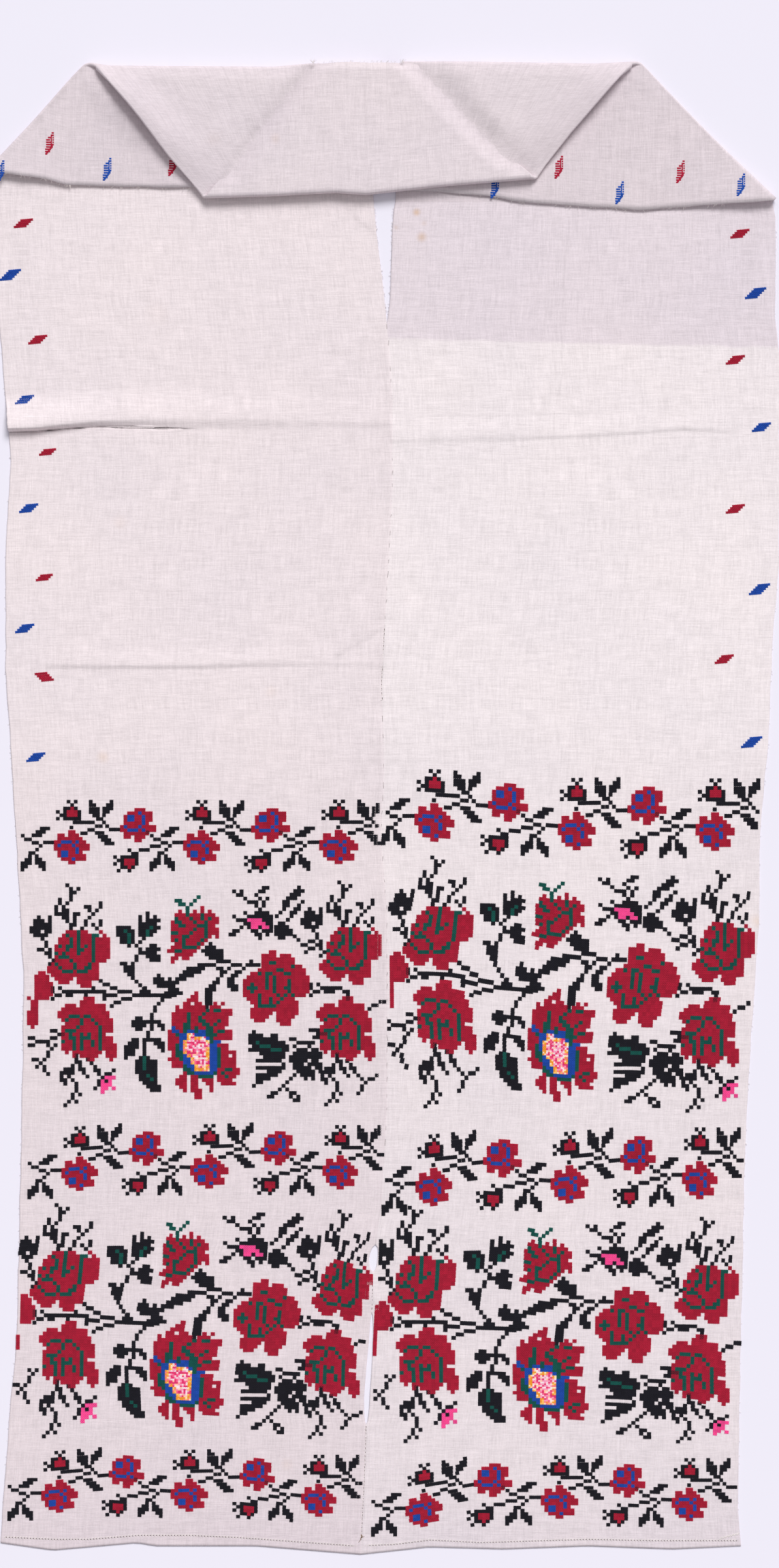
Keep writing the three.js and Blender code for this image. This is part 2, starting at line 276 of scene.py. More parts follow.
class ClothShape:
    """The towel's middle surface, for one thickness and one distance between its layers."""

    def __init__(self, sizes):
        self.thick = sizes.thickness / MM
        self.pitch = sizes.layer_pitch / MM
        self.soften = sizes.soft_edge / MM
        self.lap = sizes.seam_lap / MM
        self.fray = sizes.edge_waver / MM
        self.reach = self.pitch * 1.5 + 0.6
        self.first = self.thick / 2 + self.pitch / 2
        self.second = self.first + 2 * self.pitch
        self.third = self.second + 2 * self.pitch
        self.points = []
        self.faces = []
        self.tones = {}

    def add(self, x, down, z):
        """Adds one point and gives its number."""
        self.points.append(Vector((x, down, z)))
        return len(self.points) - 1

    def stack_point(self, x, level, sheet, flap_down):
        """A point of the back-and-forth stack: sheet is -1 for the arm, +1 for the bridge."""
        top = read(TOP_FOLD, x) + self.reach
        bottom = read(BOTTOM_FOLD, x) - self.reach
        turn = math.pi * (level % 1)
        off = sheet * self.pitch / 2
        if level <= 1:
            return x, mix(flap_down, top, level), self.first + off
        if level < 2:
            reach = self.pitch - off
            middle = (self.first + self.second) / 2
            down = top - reach * math.sin(turn) ** TOP_ROUNDING
            return x, down, middle - reach * math.cos(turn)
        if level <= 3:
            swell = self.swell(x, level) * (1.0 if sheet < 0 else LOWER_SHEET_SWELL)
            down = mix(top, bottom, level - 2)
            if sheet < 0:
                swell += self.cushion(x, down, bottom)
            return x, down, self.second - off + swell
        if level < 4:
            reach = self.pitch + off
            middle = (self.second + self.third) / 2
            down = bottom + reach * math.sin(turn) ** BOTTOM_ROUNDING
            return x, down, middle - reach * math.cos(turn)
        down = mix(bottom, TOP_SELVEDGE_DOWN, level - 4)
        return x, down, self.third + off - self.slack(x, level, sheet)

    def slack(self, x, level, sheet):
        """How far the topmost pair runs out into the one below at its two slanting sides."""
        if level <= 4:
            return 0.0
        left = x - read(LEFT_DIAGONAL, level)
        right = read(RIGHT_DIAGONAL, level) - x
        near = 1 - smooth(0, self.soften, min(left, right))
        if sheet > 0:
            fall = 2 * self.pitch + VALLEY - RUN_OUT_ABOVE
        else:
            fall = self.pitch + VALLEY + RUN_OUT_UNDER
        return near * smooth(*RUN_OUT_LEVELS, level) * fall

    def cushion(self, x, down, bottom):
        """How the second pair sinks under the third, and swells beside it."""
        over = 4 + (bottom - down) / (bottom - TOP_SELVEDGE_DOWN)
        left = read(LEFT_DIAGONAL, over) - x
        right = x - read(RIGHT_DIAGONAL, over)
        room = min(1.0, CUSHION_PACE * smooth(*CUSHION_LEVELS, over))
        rise = CUSHION * smooth(0, CUSHION_REACH, max(left, right)) - VALLEY
        return rise * room

    def flap_rise(self, x, level, down):
        """How far the flap stands off: its loose corners, and its bulge beside the stack."""
        rise = read(FLAP_LIFT, x) * (1 - level) ** 2
        top = read(TOP_FOLD, x) + self.reach
        bottom = read(BOTTOM_FOLD, x) - self.reach
        beside = 2 + (down - top) / (bottom - top)
        if 2 < beside < 3:
            for side, diagonal, bulge in (
                    (-1, LEFT_DIAGONAL, LEFT_BULGE), (1, RIGHT_DIAGONAL, RIGHT_BULGE)):
                away = side * (x - read(diagonal, beside))
                rise += read(bulge, beside) * math.exp(-((away - BULGE_AWAY) / BULGE_WIDTH) ** 2)
        return rise

    def swell(self, x, level):
        """How far the middle pair stands off the flap near the two diagonals."""
        left = 1 - smooth(0, SWELL_REACH, x - read(LEFT_DIAGONAL, level))
        right = 1 - smooth(0, SWELL_REACH, read(RIGHT_DIAGONAL, level) - x)
        return left * read(LEFT_SWELL, level) + right * read(RIGHT_SWELL, level)

    def flat_point(self, x, down, side, from_seam):
        """A point of an arm where it lies on the surface, with its creases and seam edge."""
        lift, lean = ridge_lift(x, down)
        edge = self.seam_edge(down, side, from_seam)
        return x, down + end_shift(x, down) + lean, self.thick / 2 + lift + edge

    def seam_edge(self, down, side, from_seam):
        """How far an arm's edge stands up beside the seam: lapped over it, or pulled to it."""
        height = 0.0
        near = smooth(0, SEAM_CREST, from_seam) * (1 - smooth(SEAM_CREST, SEAM_REACH, from_seam))
        for start, end in SEAM_LAPS:
            if side < 0:
                height += self.lap * near * smooth(start, start + LAP_EASE, down) * (
                    1 - smooth(end - LAP_EASE, end, down))
        for start, end in SEAM_GROOVES:
            pull = smooth(start, start + GROOVE_EASE, down) * (
                1 - smooth(end - GROOVE_EASE, end, down))
            height += GROOVE_SHARE * self.lap * near * pull
        return height


def spaced(start, end, step):
    """Values from start up to end, not including it, about a step apart."""
    parts = max(1, math.ceil(abs(end - start) / step))
    return [mix(start, end, part / parts) for part in range(parts)]


def levels_of_stack():
    """Levels from the top selvedge down to the flap edge."""
    levels = [5.0, ARM_END_LEVEL]
    levels += spaced(4.88, 4, 0.06)
    levels += spaced(4, 3, 0.125)
    levels += spaced(3, 2, 0.1)
    levels += spaced(2, 1, 0.125)
    levels += spaced(1, 0.12, 0.08)
    return levels + [0.12, 0.08, 0.04, 0.0]


def rows_of_seam():
    """Rows down the sewn part, closer together where a crease or a gap is."""
    rows = {float(SEAM_START), float(END_DOWN)}
    for reach, line in RIDGES:
        low = min(row[1] for row in line)
        high = max(row[2] for row in line) + CREASE_BELOW
        rows.update(spaced(low - reach, line[0][1] - CREASE_ABOVE, SWELL_STEP))
        rows.update(spaced(low - CREASE_ABOVE, high, CREASE_STEP))
        rows.add(high)
    for start, widest, end, _ in SEAM_GAPS:
        rows.update(spaced(start, widest, GAP_STEP))
        rows.update(spaced(widest, end, GAP_STEP))
        rows.add(float(end))
    rows.update(END_DOWN - above for above in HEM_ROWS)
    ordered = sorted(rows)
    filled = []
    for low, high in zip(ordered, ordered[1:]):
        filled += spaced(low, high, ROW_STEP)
    return filled + [float(END_DOWN)]


def column_shares(columns, close):
    """Shares across an arm from its outer selvedge to its inner one, closer at both edges."""
    shares = [0.0, close / 2, close, close * 2]
    shares += [mix(close * 3.5, 1 - close * 3.5, c / columns) for c in range(columns + 1)]
    return shares + [1 - close * 2, 1 - close, 1 - close / 2, 1.0]


def waver(x, down, seed, size):
    """A small uneven wander of a free edge."""
    total = 0.0
    for number, (pace, share) in enumerate(WAVERS):
        total += share * noise.noise(Vector((x * pace, down * pace, seed + 7 * number)))
    return size * total


# How finely the cloth's net is laid: columns of an arm and of the bridge, how close the first ones
# are to a selvedge as a share, the rows' step in millimetres, and the steps round a diagonal.
ARM_COLUMNS = 44
BRIDGE_COLUMNS = 96
EDGE_SHARE = 0.006
ROW_STEP = 7.5
TURN_STEPS = 8

# The parts of the cloth that differ in tone, as values of the mesh's own attribute. The stack's
# darker tone is painted shade on the lower layers and flaps.
ZONES = {"left": 0.1, "right": 0.35, "bridge": 0.6, "stack": 0.85}

LEFT_ARM = (-1, LEFT_OUTER, LEFT_DIAGONAL, LEFT_INNER_IN_STACK, LEFT_OF_OPENING)
RIGHT_ARM = (1, RIGHT_OUTER, RIGHT_DIAGONAL, RIGHT_INNER_IN_STACK, RIGHT_OF_OPENING)


def bridge_net(cloth, columns):
    """The bridge, from its selvedge on top down to the flap edge, with its place on the weave."""
    net = []
    run = 0.0
    last = None
    for level in levels_of_stack():
        left = read(LEFT_DIAGONAL, level)
        right = read(RIGHT_DIAGONAL, level)
        if 2 < level < 3:
            left += TUCK * read(LEFT_SWELL, level)
            right -= TUCK * read(RIGHT_SWELL, level)
        row = []
        for c in range(columns + 1):
            x = mix(left, right, c / columns)
            px, down, z = cloth.stack_point(x, level, 1, read(FLAP_EDGE, x))
            if level < 1:
                z += cloth.flap_rise(x, level, down)
            if level in (0.0, 5.0):
                down += waver(x, down, level, cloth.fray)
            row.append(cloth.add(px, down, z))
            # Painted shade: the top pair darkens towards its slanting sides, where it slopes down
            # into the pair below.
            if level > 4:
                near = 1 - smooth(0, 1.6 * cloth.soften, min(x - left, right - x))
                cloth.tones[row[-1]] = mix(ZONES["bridge"], ZONES["stack"], near)
        middle = cloth.points[row[columns // 2]]
        run += (middle - last).length if last is not None else 0.0
        last = middle
        net.append([(i, (run, cloth.points[i].x)) for i in row])
    return net


def arm_net(cloth, arm, shares, shared_edge):
    """One arm's rows inside the stack, then over the open V, then down the sewn part."""
    side, outer_line, diagonal, inner_line, opening = arm
    corner = outer_line[0][0]
    net = []

    def add_row(line):
        net.append([(i, (share * LOOM_WIDTH, cloth.points[i].y)) for share, i in zip(shares, line)])

    for level in levels_of_stack()[1:]:
        outer = read(diagonal, level)
        inner = read(inner_line, level)
        line = []
        for share in shares:
            x = mix(outer, inner, share)
            line.append(cloth.add(*cloth.stack_point(x, level, -1, corner)))
            # Painted shade: the middle pair is darker near its diagonal, where it slopes down to
            # the flap.
            if 2 < level < 3:
                inwards = smooth(10, 75, abs(x - outer))
                cloth.tones[line[-1]] = mix(ZONES["stack"], ZONES["bridge"] + 0.02, inwards)
        add_row(line)
    rows = [(down, read(opening, down), False) for down in spaced(corner, SEAM_START, ROW_STEP)[1:]]
    rows += [(down, None, True) for down in rows_of_seam()]
    sewn = 0
    for down, inner, is_sewn in rows:
        if is_sewn:
            inner = read(SEAM, down) + side * half_gap(down)
        outer = read(outer_line, down) + waver(side * 900, down, side, cloth.fray)
        line = []
        for share in shares:
            x = mix(outer, inner, share)
            shared = is_sewn and share == 1.0 and shared_edge and half_gap(down) == 0
            spot = cloth.flat_point(x, down, side, abs(x - inner) if is_sewn else 99.0)
            line.append(shared_edge[sewn] if shared else cloth.add(*spot))
        sewn += is_sewn
        add_row(line)
    return net


def diagonal_net(cloth, side, arm_rows, bridge_rows, column):
    """The half-round turn of the cloth along a diagonal, from the arm up to the bridge."""
    edge = [row[column][0] for row in bridge_rows]
    levels = levels_of_stack()
    net = []
    for r, over in enumerate(edge):
        under = arm_rows[r][0][0]
        a = cloth.points[under]
        b = cloth.points[over]
        before = cloth.points[edge[max(r - 1, 0)]]
        after = cloth.points[edge[min(r + 1, len(edge) - 1)]]
        across = b - a
        outward = (after - before).cross(across)
        if outward.length > 1e-9:
            outward.normalize()
        if outward.x * side < 0:
            outward.negate()
        middle = (a + b) / 2
        if 2 < levels[r + 1] < 3:
            outward *= TUCKED_TURN
        start = bridge_rows[r][column][1]
        row = [(over, start)]
        for step in range(TURN_STEPS - 1, 0, -1):
            turn = math.pi * step / TURN_STEPS
            p = middle - across * math.cos(turn) / 2 + outward * math.sin(turn) * across.length / 2
            row.append((cloth.add(*p), (start[0], start[1] + (TURN_STEPS - step) * 0.8)))
        row.append((under, (start[0], start[1] + TURN_STEPS * 0.8)))
        net.append(row)
    return net


def add_faces(cloth, net, mirrored, zone):
    """Faces between the neighbouring columns of a net, each corner with its place and zone."""
    for upper, lower in zip(net, net[1:]):
        for c in range(len(upper) - 1):
            corners = [upper[c], lower[c], lower[c + 1], upper[c + 1]]
            if mirrored:
                corners.reverse()
            cloth.faces.append((corners, zone))


def cloth_mesh(cloth, name):
    """Gives the middle surface its thickness and closes it along every free edge."""
    count = len(cloth.points)
    normals = [Vector((0, 0, 0)) for _ in cloth.points]
    places = [Vector(to_frame(*p)) for p in cloth.points]
    for corners, _ in cloth.faces:
        ids = [i for i, _ in corners]
        normal = (places[ids[2]] - places[ids[0]]).cross(places[ids[3]] - places[ids[1]])
        for i in ids:
            normals[i] += normal
    half = cloth.thick * MM / 2
    verts = []
    for sign in (1, -1):
        for place, normal in zip(places, normals):
            verts.append(place + normal.normalized() * sign * half)
    polys = []
    spots = []
    zones = []
    free = {}
    for corners, zone in cloth.faces:
        ids = [i for i, _ in corners]
        uvs = [uv for _, uv in corners]
        tones = [cloth.tones.get(i, zone) for i in ids]
        polys.append(ids)
        spots += uvs
        zones += tones
        polys.append([i + count for i in reversed(ids)])
        spots += list(reversed(uvs))
        zones += list(reversed(tones))
        for k in range(4):
            a, b = ids[k], ids[(k + 1) % 4]
            if (b, a) in free:
                del free[(b, a)]
            else:
                free[(a, b)] = (uvs[k], uvs[(k + 1) % 4], zone)
    for (a, b), (uv_a, uv_b, zone) in free.items():
        polys.append([b, a, a + count, b + count])
        spots += [uv_b, uv_a, uv_a, uv_b]
        zones += [zone] * 4
    mesh = bpy.data.meshes.new(name)
    mesh.from_pydata(verts, [], polys)
    layer = mesh.uv_layers.new(name="weave")
    layer.data.foreach_set("uv", [v * MM for uv in spots for v in uv])
    attribute = mesh.attributes.new("zone", "FLOAT", "CORNER")
    attribute.data.foreach_set("value", zones)
    mesh.update()
    mesh.validate()
    mesh.shade_smooth()
    return mesh


def link(mesh, name):
    """An object for a mesh, in the scene."""
    piece = bpy.data.objects.new(name, mesh)
    bpy.context.scene.collection.objects.link(piece)
    return piece


def add_node(tree, kind, values=None, **settings):
    """A node with its settings, and its inputs by name or number."""
    node = tree.nodes.new(kind)
    for key, value in settings.items():
        setattr(node, key, value)
    for key, value in (values or {}).items():
        if isinstance(value, bpy.types.NodeSocket):
            tree.links.new(value, node.inputs[key])
        else:
            node.inputs[key].default_value = value
    return node


def worked_out(tree, operation, *values, **settings):
    """The result of a math node on its values."""
    values = dict(enumerate(values))
    return add_node(tree, "ShaderNodeMath", values, operation=operation, **settings).outputs[0]


def vector_of(tree, operation, *values):
    """The result of a vector math node: a value for a distance or a product, else a vector."""
    node = add_node(tree, "ShaderNodeVectorMath", dict(enumerate(values)), operation=operation)
    return node.outputs["Value" if operation in ("DISTANCE", "DOT_PRODUCT") else "Vector"]


def scaled(tree, vector, factor):
    """A vector or a colour times a value."""
    values = {0: vector, "Scale": factor}
    return add_node(tree, "ShaderNodeVectorMath", values, operation="SCALE").outputs["Vector"]


def ranged(tree, value, low, high, dark=0.0, light=1.0, **settings):
    """A value carried over from one range to another."""
    values = {"Value": value, "From Min": low, "From Max": high, "To Min": dark, "To Max": light}
    return add_node(tree, "ShaderNodeMapRange", values, **settings).outputs["Result"]


def sum_of(tree, sockets):
    """The sum of several values."""
    total = sockets[0]
    for socket in sockets[1:]:
        total = worked_out(tree, "ADD", total, socket)
    return total


def tinted(tree, colour, tint, factor):
    """A colour multiplied by a tint, as far as the factor goes."""
    return add_node(
        tree, "ShaderNodeMix", {0: factor, 6: colour, 7: tint},
        data_type="RGBA", blend_type="MULTIPLY").outputs[2]


def noise_on(tree, vector, scale, detail, roughness=0.5):
    """Noise at a scale: its value and its colour."""
    return add_node(
        tree, "ShaderNodeTexNoise",
        {"Vector": vector, "Scale": scale, "Detail": detail, "Roughness": roughness}).outputs


def stretched_noise(tree, vector, scale, detail):
    """Noise on the weave, drawn out along the warp or the weft."""
    mapping = add_node(tree, "ShaderNodeMapping", {"Vector": vector, "Scale": scale})
    return noise_on(tree, mapping.outputs["Vector"], 1.0, detail, 0.62)["Fac"]


def colours_along(tree, factor, stops, interpolation="LINEAR"):
    """A colour ramp through its stops, as (position, colour), from the lowest up."""
    node = add_node(tree, "ShaderNodeValToRGB", {"Fac": factor})
    node.color_ramp.interpolation = interpolation
    elements = node.color_ramp.elements
    for number, (position, colour) in enumerate(stops):
        element = elements[number] if number < 2 else elements.new(position)
        element.position = position
        element.color = (*colour, 1)
    return node.outputs["Color"]


def new_material(name, roughness, sheen):
    """A material with a matt fabric shader, its tree and its shader's inputs."""
    material = bpy.data.materials.new(name)
    material.use_nodes = True
    tree = material.node_tree
    shader = tree.nodes["Principled BSDF"].inputs
    shader["Roughness"].default_value = roughness
    shader["Specular IOR Level"].default_value = 0.2
    shader["Sheen Weight"].default_value = sheen
    shader["Sheen Roughness"].default_value = 0.6
    return material, tree, shader


def finish_material(tree, shader, colour, height, strength, distance):
    """Leads a colour and a relief into the shader."""
    tree.links.new(colour, shader["Base Color"])
    bump = add_node(
        tree, "ShaderNodeBump", {"Strength": strength, "Distance": distance, "Height": height})
    tree.links.new(bump.outputs["Normal"], shader["Normal"])


def new_group(name, kind, inputs, output):
    """A node group with its sockets, as (name, kind): its tree and what it is given."""
    tree = bpy.data.node_groups.new(name, kind)
    for in_out, sockets in (("INPUT", inputs), ("OUTPUT", [output])):
        for label, value in sockets:
            tree.interface.new_socket(label, in_out=in_out, socket_type="NodeSocket" + value)
    return tree, tree.nodes.new("NodeGroupInput").outputs


def end_group(tree, socket):
    """Leads a socket out of a group."""
    tree.links.new(socket, tree.nodes.new("NodeGroupOutput").inputs[0])
    return tree


def crease_group():
    """How near a place is to a line between two points: 1 on it, 0 past its half width."""
    tree, given = new_group("crease_line", "ShaderNodeTree", [
        ("Place", "Vector"), ("From", "Vector"), ("Along", "Vector"), ("Half Width", "Float"),
    ], ("Nearness", "Float"))
    along = given["Along"]
    away = vector_of(tree, "SUBTRACT", given["Place"], given["From"])
    forward = vector_of(tree, "DOT_PRODUCT", away, along)
    length = vector_of(tree, "DOT_PRODUCT", along, along)
    share = worked_out(tree, "DIVIDE", forward, length, use_clamp=True)
    gap = vector_of(tree, "DISTANCE", away, scaled(tree, along, share))
    near = ranged(tree, gap, given["Half Width"], 0.0, interpolation_type="SMOOTHSTEP")
    return end_group(tree, near)


def spot_on_surface(across, down):
    """A place on the layout grid as a flat point of the frame."""
    x, low = steps_to_towel(across, down)
    return to_frame(x, low, 0.0)


def pressed_creases(tree, place):
    """How deep the fine creases are at a place, which the linen uses both as a dent and as painted
    shade.
    """
    group = crease_group()
    pressed = []
    for start, end, half, depth in SHADED_CREASES:
        first = Vector(spot_on_surface(*start))
        along = Vector(spot_on_surface(*end)) - first
        node = add_node(
            tree, "ShaderNodeGroup",
            {"Place": place, "From": first, "Along": along, "Half Width": half * MM},
            node_tree=group)
        pressed.append(worked_out(tree, "MULTIPLY", node.outputs[0], depth))
    return sum_of(tree, pressed)


def greyed_top(tree, zone, across):
    """Where the right arm is greyer: above a straight line across it."""
    left_end = Vector(spot_on_surface(*GREY_LINE[0]))
    right_end = spot_on_surface(*GREY_LINE[1])
    slope = (right_end[1] - left_end.y) / (right_end[0] - left_end.x)
    level = worked_out(tree, "MULTIPLY_ADD", across["X"], -slope, across["Y"])
    edge = left_end.y - slope * left_end.x
    above = ranged(tree, level, edge - GREY_EDGE, edge + GREY_EDGE)
    on_right = worked_out(tree, "COMPARE", zone, ZONES["right"], 0.1)
    return worked_out(tree, "MULTIPLY", above, on_right)


def linen_material(colours):
    """Plain-woven homespun linen: uneven yarn both ways, creases, stains and differing tones, with
    painted shade in the creases, on the lower layers and towards the hems.
    """
    material, tree, shader = new_material("homespun_linen", 0.92, 0.06)
    weave = add_node(tree, "ShaderNodeUVMap", uv_map="weave").outputs["UV"]
    zone = add_node(tree, "ShaderNodeAttribute", attribute_name="zone").outputs["Fac"]
    spot = add_node(tree, "ShaderNodeTexCoord").outputs["Object"]
    flat = vector_of(tree, "MULTIPLY", spot, (1, 1, 0))
    drift = noise_on(tree, flat, 28.0, 2.0)["Color"]
    centred = vector_of(tree, "SUBTRACT", drift, (0.5, 0.5, 0.5))
    wander = vector_of(tree, "MULTIPLY", centred, (0.006, 0.006, 0.0))
    place = vector_of(tree, "ADD", flat, wander)

    slubs, streaks = (
        sum_of(tree, [stretched_noise(tree, weave, (fine, coarse, 1), detail),
                      stretched_noise(tree, weave, (coarse, fine, 1), detail)])
        for fine, coarse, detail in ((980, 60, 2.0), (330, 24, 1.0)))
    fleck = stretched_noise(tree, weave, (520, 640, 1), 2.0)
    mottle = stretched_noise(tree, weave, (60, 75, 1), 2.0)
    clouds = noise_on(tree, spot, 7.0, 3.0)["Fac"]
    crease_shade_and_dent = pressed_creases(tree, place)
    # Each pattern with the range it is read over, and how much it darkens and lightens the cloth.
    # The creases' darkening is painted shade.
    shades = [ranged(tree, *values) for values in (
        (slubs, 0.72, 1.28, -0.10, 0.07), (streaks, 0.75, 1.25, -0.045, 0.03),
        (fleck, 0.3, 0.7, -0.045, 0.03), (clouds, 0.3, 0.7, -0.022, 0.022),
        (mottle, 0.3, 0.7, -0.025, 0.025), (crease_shade_and_dent, 0.0, 1.0, 0.0, -1.0),
    )]
    shade = worked_out(tree, "ADD", sum_of(tree, shades), 1.0)

    across = add_node(tree, "ShaderNodeSeparateXYZ", {"Vector": place}).outputs
    # Painted shade: the cloth is darkened towards the hems, from the middle of its length down.
    fade = ranged(tree, across["Y"], -HALF_LENGTH * MM, HALF_LENGTH * MM)
    # The stack's tone, and the blends towards it, are painted shade.
    toned = colours_along(tree, zone, [
        (ZONES["left"], colours.left_linen), (ZONES["right"], colours.right_linen),
        (ZONES["bridge"], colours.bridge_linen), (ZONES["stack"], colours.shaded_stack_linen),
    ])
    base = tinted(tree, toned, colours_along(tree, fade, SHADE_TOWARDS_HEMS), 1.0)
    base = tinted(tree, base, CLOUD_TINT, clouds)
    base = tinted(tree, base, GREY_TINT, greyed_top(tree, zone, across))
    for stain_across, stain_down, radius, strength in STAINS:
        gap = vector_of(tree, "DISTANCE", place, spot_on_surface(stain_across, stain_down))
        soaked = ranged(
            tree, gap, radius * GRID_STEP * MM, 0.0, 0.0, strength,
            interpolation_type="SMOOTHSTEP")
        base = tinted(tree, base, STAIN_TINT, soaked)
    relief = sum_of(tree, [
        worked_out(tree, "MULTIPLY", value, height)
        for value, height in ((slubs, 0.5), (fleck, 0.2), (crease_shade_and_dent, -5.0))])
    finish_material(tree, shader, scaled(tree, base, shade), relief, 0.55, 0.0005)
    return material


def yarn_material(name, colour, fade):
    """Matt cotton yarn, uneven from stitch to stitch and a little faded in places."""
    material, tree, shader = new_material(name + "_thread", 0.85, 0.03)
    tone = add_node(tree, "ShaderNodeAttribute", attribute_name="yarn_tone").outputs["Fac"]
    place = add_node(tree, "ShaderNodeTexCoord").outputs["Object"]
    fibre = noise_on(tree, place, 1500.0, 2.0)["Fac"]
    shade = ranged(tree, worked_out(tree, "ADD", tone, fibre), 0.2, 1.8, 1 - fade, 1 + fade)
    dyed = colours_along(tree, tone, TURNS[name], "CONSTANT") if name in TURNS else (*colour,)
    finish_material(tree, shader, scaled(tree, dyed, shade), fibre, 0.3, 0.0002)
    return material


